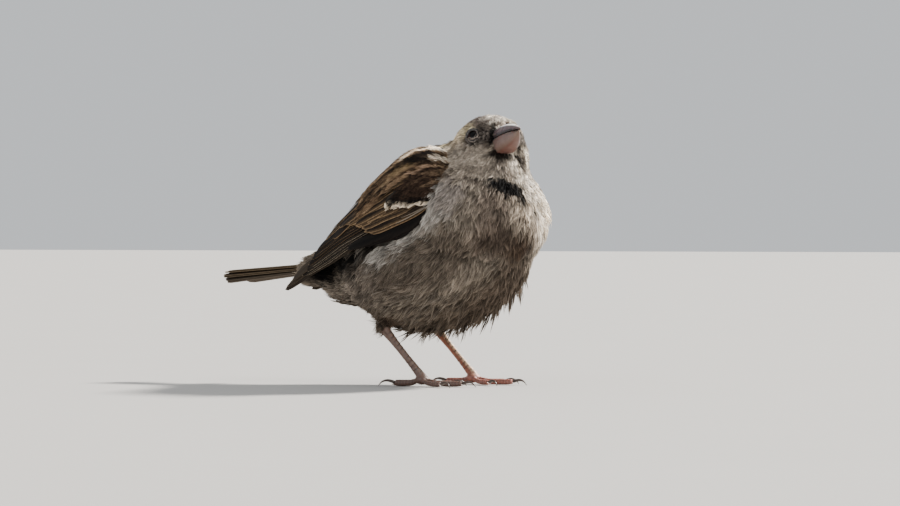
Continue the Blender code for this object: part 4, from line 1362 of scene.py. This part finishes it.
# bristles: short stiff hairs along the base of the bill, and a few stray ones on the face
bristles = dict(
    count=11, start=(10.0, 5.7, -3.6), end=(10.9, 2.4, 4.9), towards=(0.80, -0.10, -0.42), length=(1.9, 3.0),
    thick=0.055, bend=(-0.25, 0.0, -0.5), colour=srgb(14, 12, 11), pale=srgb(170, 158, 142), seed=41,
    stray=[   # root, way and length
        ((8.4, 10.2, -1.4), (0.35, 0.93, -0.05), 2.3), ((8.0, 10.0, -3.6), (0.30, 0.90, -0.30), 1.7),
        ((-2.0, 3.0, 11.6), (-0.6, 0.2, 0.75), 1.8), ((4.0, -2.0, 11.4), (-0.3, 0.1, 0.9), 1.5),
    ],
)


def makeBristles():
    rng = random.Random(bristles["seed"])
    face = treeOf("head")
    verts, faces, tints = [], [], []

    def addHair(root, way, length, colour):
        nearest = face.find_nearest(Vector(toFrame(headToBody(np.array(root)[None]))[0]))[0]
        root = bodyToHead(fromFrame(np.array(nearest)[None]))[0]
        way, bend = unit(np.array(way)), np.array(bristles["bend"])
        side = unit(np.cross(way, (0.3, 0.2, 0.9)))
        over = np.cross(way, side)
        faces.extend(tubeFaces(5, 3, len(verts)))
        for t in (step / 4 for step in range(5)):
            spot = root + way * length * t + bend * (length * 0.22 * t * t)
            thick = bristles["thick"] * (1 - 0.9 * t)
            for turn in (2 * math.pi * corner / 3 for corner in range(3)):
                verts.append(spot + (side * math.cos(turn) + over * math.sin(turn)) * thick)
                tints.append(colour)

    for side in (1, -1):
        for index in range(bristles["count"]):
            share = (index + rng.uniform(-0.3, 0.3)) / (bristles["count"] - 1)
            root = np.array(bristles["start"]) * (1 - share) + np.array(bristles["end"]) * share
            way = np.array(bristles["towards"]) + np.array([rng.uniform(-0.2, 0.2) for _ in range(3)])
            colour = bristles["pale"] if index % 4 == 1 else bristles["colour"]
            length = rng.uniform(*bristles["length"]) * (1 - 0.35 * share)
            addHair(root * (1, side, 1), way * (1, side, 1), length, colour)
    for root, way, length in bristles["stray"]:
        addHair(root, way, length, bristles["pale"])
    finish = Finish("bristle")
    hair = finish.done(BaseColor=finish.field("tint", "Color"), Roughness=0.5)
    mesh = shapeMesh("bristles", headToBody(np.array(verts)), faces, hair, tint=opaque(tints))
    faceOut(mesh)
    finishPiece(newObject("bristles", mesh))
    print("bristles:", len(faces), "faces")


makeBristles()

# legs: one skin for each, over the shank and all four toes, with scutes in front
legs = dict(
    voxel=0.27, relaxing=5, ankle=(-14.5, 0.0, 15.6), heading=8.0, scutes=12, scuteDepth=0.17, toeScutes=1.1,
    feet=dict(
        # painted light: the Left foot's colours are a sunlit copy glowing orange, the Right foot's a shaded
        # copy of the same skin; both lighter towards the front
        Right=dict(joint=(-2.5, -11.0, 3.2), back=(118, 96, 84), front=(138, 117, 103), low=(102, 80, 70)),
        Left=dict(joint=(4.8, 11.0, 3.2), back=(150, 88, 60), front=(226, 194, 162), low=(172, 112, 98)),
    ),
    toes=dict(   # turned from the heading, start from the joint
        hind=(181.0, (-1.2, 0.0)), inner=(33.0, (0.7, 1.8)),
        middle=(0.0, (1.5, 0.0)), outer=(-27.0, (0.6, -1.8)),
    ),
)


def legMaterial():
    finish = Finish("scaled leg skin")
    mottle = finish.noise(650.0, 5.0, 0.6)
    pebbles = finish.node("ShaderNodeTexVoronoi", {"Vector": finish.place(), "Scale": 1900.0})
    patches = finish.ramp(mottle, 0.3, 0.7, 0.0, 0.5)
    colour = finish.mix(patches, finish.field("tint", "Color"), srgb(96, 66, 56))
    return finish.done(
        BaseColor=finish.mix(finish.times(finish.field("groove"), 0.80), colour, srgb(50, 34, 29)),
        Normal=finish.bump(pebbles.outputs["Distance"], 0.35, 0.00008),
        Roughness=finish.line(mottle, 0.3, 0.7, 0.42, 0.58),
        SubsurfaceWeight=0.25, SubsurfaceRadius=(1.0, 0.35, 0.2), SubsurfaceScale=0.0012,
    )


def saw(phase):   # low between the scutes, rising steeply to each edge
    return (phase - np.floor(phase)) ** 3


def makeLeg(side, sideName, foot, finish):
    names = [f"{part}_{sideName.lower()}" for part in ("tarsus", *("toe_" + toe for toe in legs["toes"]))]
    leg = oneSkin("leg" + sideName, copyNodes(names), legs["voxel"], legs["relaxing"])
    co, normals = meshArrays(leg.data)
    points = fromFrame(co)
    height = points[:, 2]
    joint = np.array(foot["joint"])
    axis = np.array(legs["ankle"])
    along = np.clip((points - joint) @ axis / (axis @ axis), 0, 1)
    onShank = smoothStep(4.2, 5.4, height)
    facing = normals @ unit(np.array((1.0, 0, 0.93)))
    frontal = np.maximum(smoothStep(-0.1, 0.5, facing), smoothStep(9.5, 7.5, height))
    scutes = saw(along * legs["scutes"] + 0.12 * np.sin(points[:, 1] * 3))
    groove = scutes * onShank * frontal * smoothStep(0.98, 0.9, along)
    ahead = math.radians(legs["heading"])
    for turn, start in legs["toes"].values():
        spread = math.radians(legs["heading"] - side * turn)
        out, aside = start[0], -side * start[1]
        base = joint[:2] + (
            out * math.cos(ahead) - aside * math.sin(ahead), out * math.sin(ahead) + aside * math.cos(ahead),
        )
        way = np.array((math.cos(spread), math.sin(spread)))
        fromBase = points[:, :2] - base
        reach = fromBase @ way
        off = np.linalg.norm(fromBase - reach[:, None] * way, axis=1)
        onToe = smoothStep(1.5, 1.2, off) * smoothStep(0.6, 1.6, reach) * (1 - onShank)
        onToe = onToe * smoothStep(-0.7, -0.1, normals[:, 2])
        groove = np.maximum(groove, saw(reach / legs["toeScutes"]) * onToe)
    drawIn(leg.data, groove * legs["scuteDepth"])
    # the foot's colours, painted lit on the far foot and shaded on the near one
    tint = blend(srgb(*foot["back"]), srgb(*foot["front"]), smoothStep(0.1, 0.7, facing))
    tint = blend(tint, srgb(*foot["low"]), smoothStep(6, 2, height))
    setAttribute(leg.data, "tint", opaque(tint))
    setAttribute(leg.data, "groove", groove)
    leg.data.materials.clear()
    leg.data.materials.append(finish)
    finishPiece(leg, names)
    print("leg:", leg.name, len(leg.data.polygons), "faces")


def clawMaterial():
    finish = Finish("claw horn")
    grain = finish.noise(900.0, 4.0, 0.6)
    colour = finish.mix(grain, srgb(34, 27, 24), srgb(84, 66, 56))
    return finish.done(BaseColor=colour, Roughness=finish.line(grain, 0.3, 0.7, 0.28, 0.42))


def makeClaws(sideName, finish):
    names = [f"claw_{toe}_{sideName.lower()}" for toe in legs["toes"]]
    claws = newObject("claws" + sideName, closeMesh(copyNodes(names), "claws"))
    claws.data.materials.append(finish)
    rounded = claws.modifiers.new("rounded", "SUBSURF")
    rounded.levels = rounded.render_levels = 1
    finishPiece(settle(claws), names)


legFinish, clawFinish = legMaterial(), clawMaterial()
for side, sideName in sides:
    makeLeg(side, sideName, legs["feet"][sideName], legFinish)
    makeClaws(sideName, clawFinish)

# setting: floor, light and camera
studio = dict(
    floor=(0.40, 0.388, 0.372), floorSize=8.0, world=(0.88, 0.91, 0.94), worldStrength=0.78,
    lamps=[   # where the light comes from: degrees round from the camera's own side, and above the floor
        dict(name="key", azimuth=119, height=38, strength=13.0, softness=8, colour=(1.0, 0.96, 0.90)),
        dict(name="top", azimuth=20, height=72, strength=0.7, softness=40, colour=(1.0, 0.98, 0.96)),
        dict(name="fill", azimuth=-40, height=28, strength=0.45, softness=60, colour=(0.92, 0.96, 1.0)),
    ],
)
view = dict(turn=30.0, distance=1100.0, lens=129.8, sensor=36.0, height=51.0, aside=1.7, tilt=0.318)


def makeFloor():
    bm = bmesh.new()
    bmesh.ops.create_grid(bm, x_segments=40, y_segments=40, size=studio["floorSize"])
    mesh = closeMesh(bm, "floor")
    finish = Finish("pale floor")
    darker = tuple(v * 0.96 for v in studio["floor"])
    colour = finish.mix(finish.noise(14.0, 3.0), studio["floor"], darker)
    mesh.materials.append(finish.done(BaseColor=colour, Roughness=0.8))
    newObject("floor", mesh)


def addLamp(name, azimuth, height, strength, softness, colour):
    data = bpy.data.lights.new(name, "SUN")
    data.energy, data.angle, data.color = strength, math.radians(softness), colour
    angle, height = math.radians(azimuth - 60), math.radians(height)
    flat = math.cos(height)
    towards = Vector((math.cos(angle) * flat, math.sin(angle) * flat, math.sin(height)))
    lamp = newObject(name, data)
    lamp.location = towards * 1.5
    lamp.rotation_euler = (-towards).to_track_quat("-Z", "Y").to_euler()


def makeCamera():
    turn, tilt = math.radians(view["turn"]), math.radians(view["tilt"])
    right, back = Vector((math.cos(turn), math.sin(turn), 0)), Vector((math.sin(turn), -math.cos(turn), 0))
    spot = back * view["distance"] + right * view["aside"] + Vector((0, 0, view["height"]))
    look = -back * math.cos(tilt) + Vector((0, 0, -math.sin(tilt)))
    data = bpy.data.cameras.new("camera")
    data.sensor_width, data.lens = view["sensor"], view["lens"]
    data.clip_start, data.clip_end = 0.01, 20
    camera = newObject("camera", data)
    camera.location = toFrame([spot])[0]
    camera.rotation_euler = look.to_track_quat("-Z", "Y").to_euler()
    bpy.context.scene.camera = camera


makeFloor()
for lamp in studio["lamps"]:
    addLamp(**lamp)
makeCamera()
sky = bpy.data.worlds.new("studio")
sky.use_nodes = True
background = sky.node_tree.nodes["Background"]
background.inputs["Color"].default_value = (*studio["world"], 1)
background.inputs["Strength"].default_value = studio["worldStrength"]
bpy.context.scene.world = sky
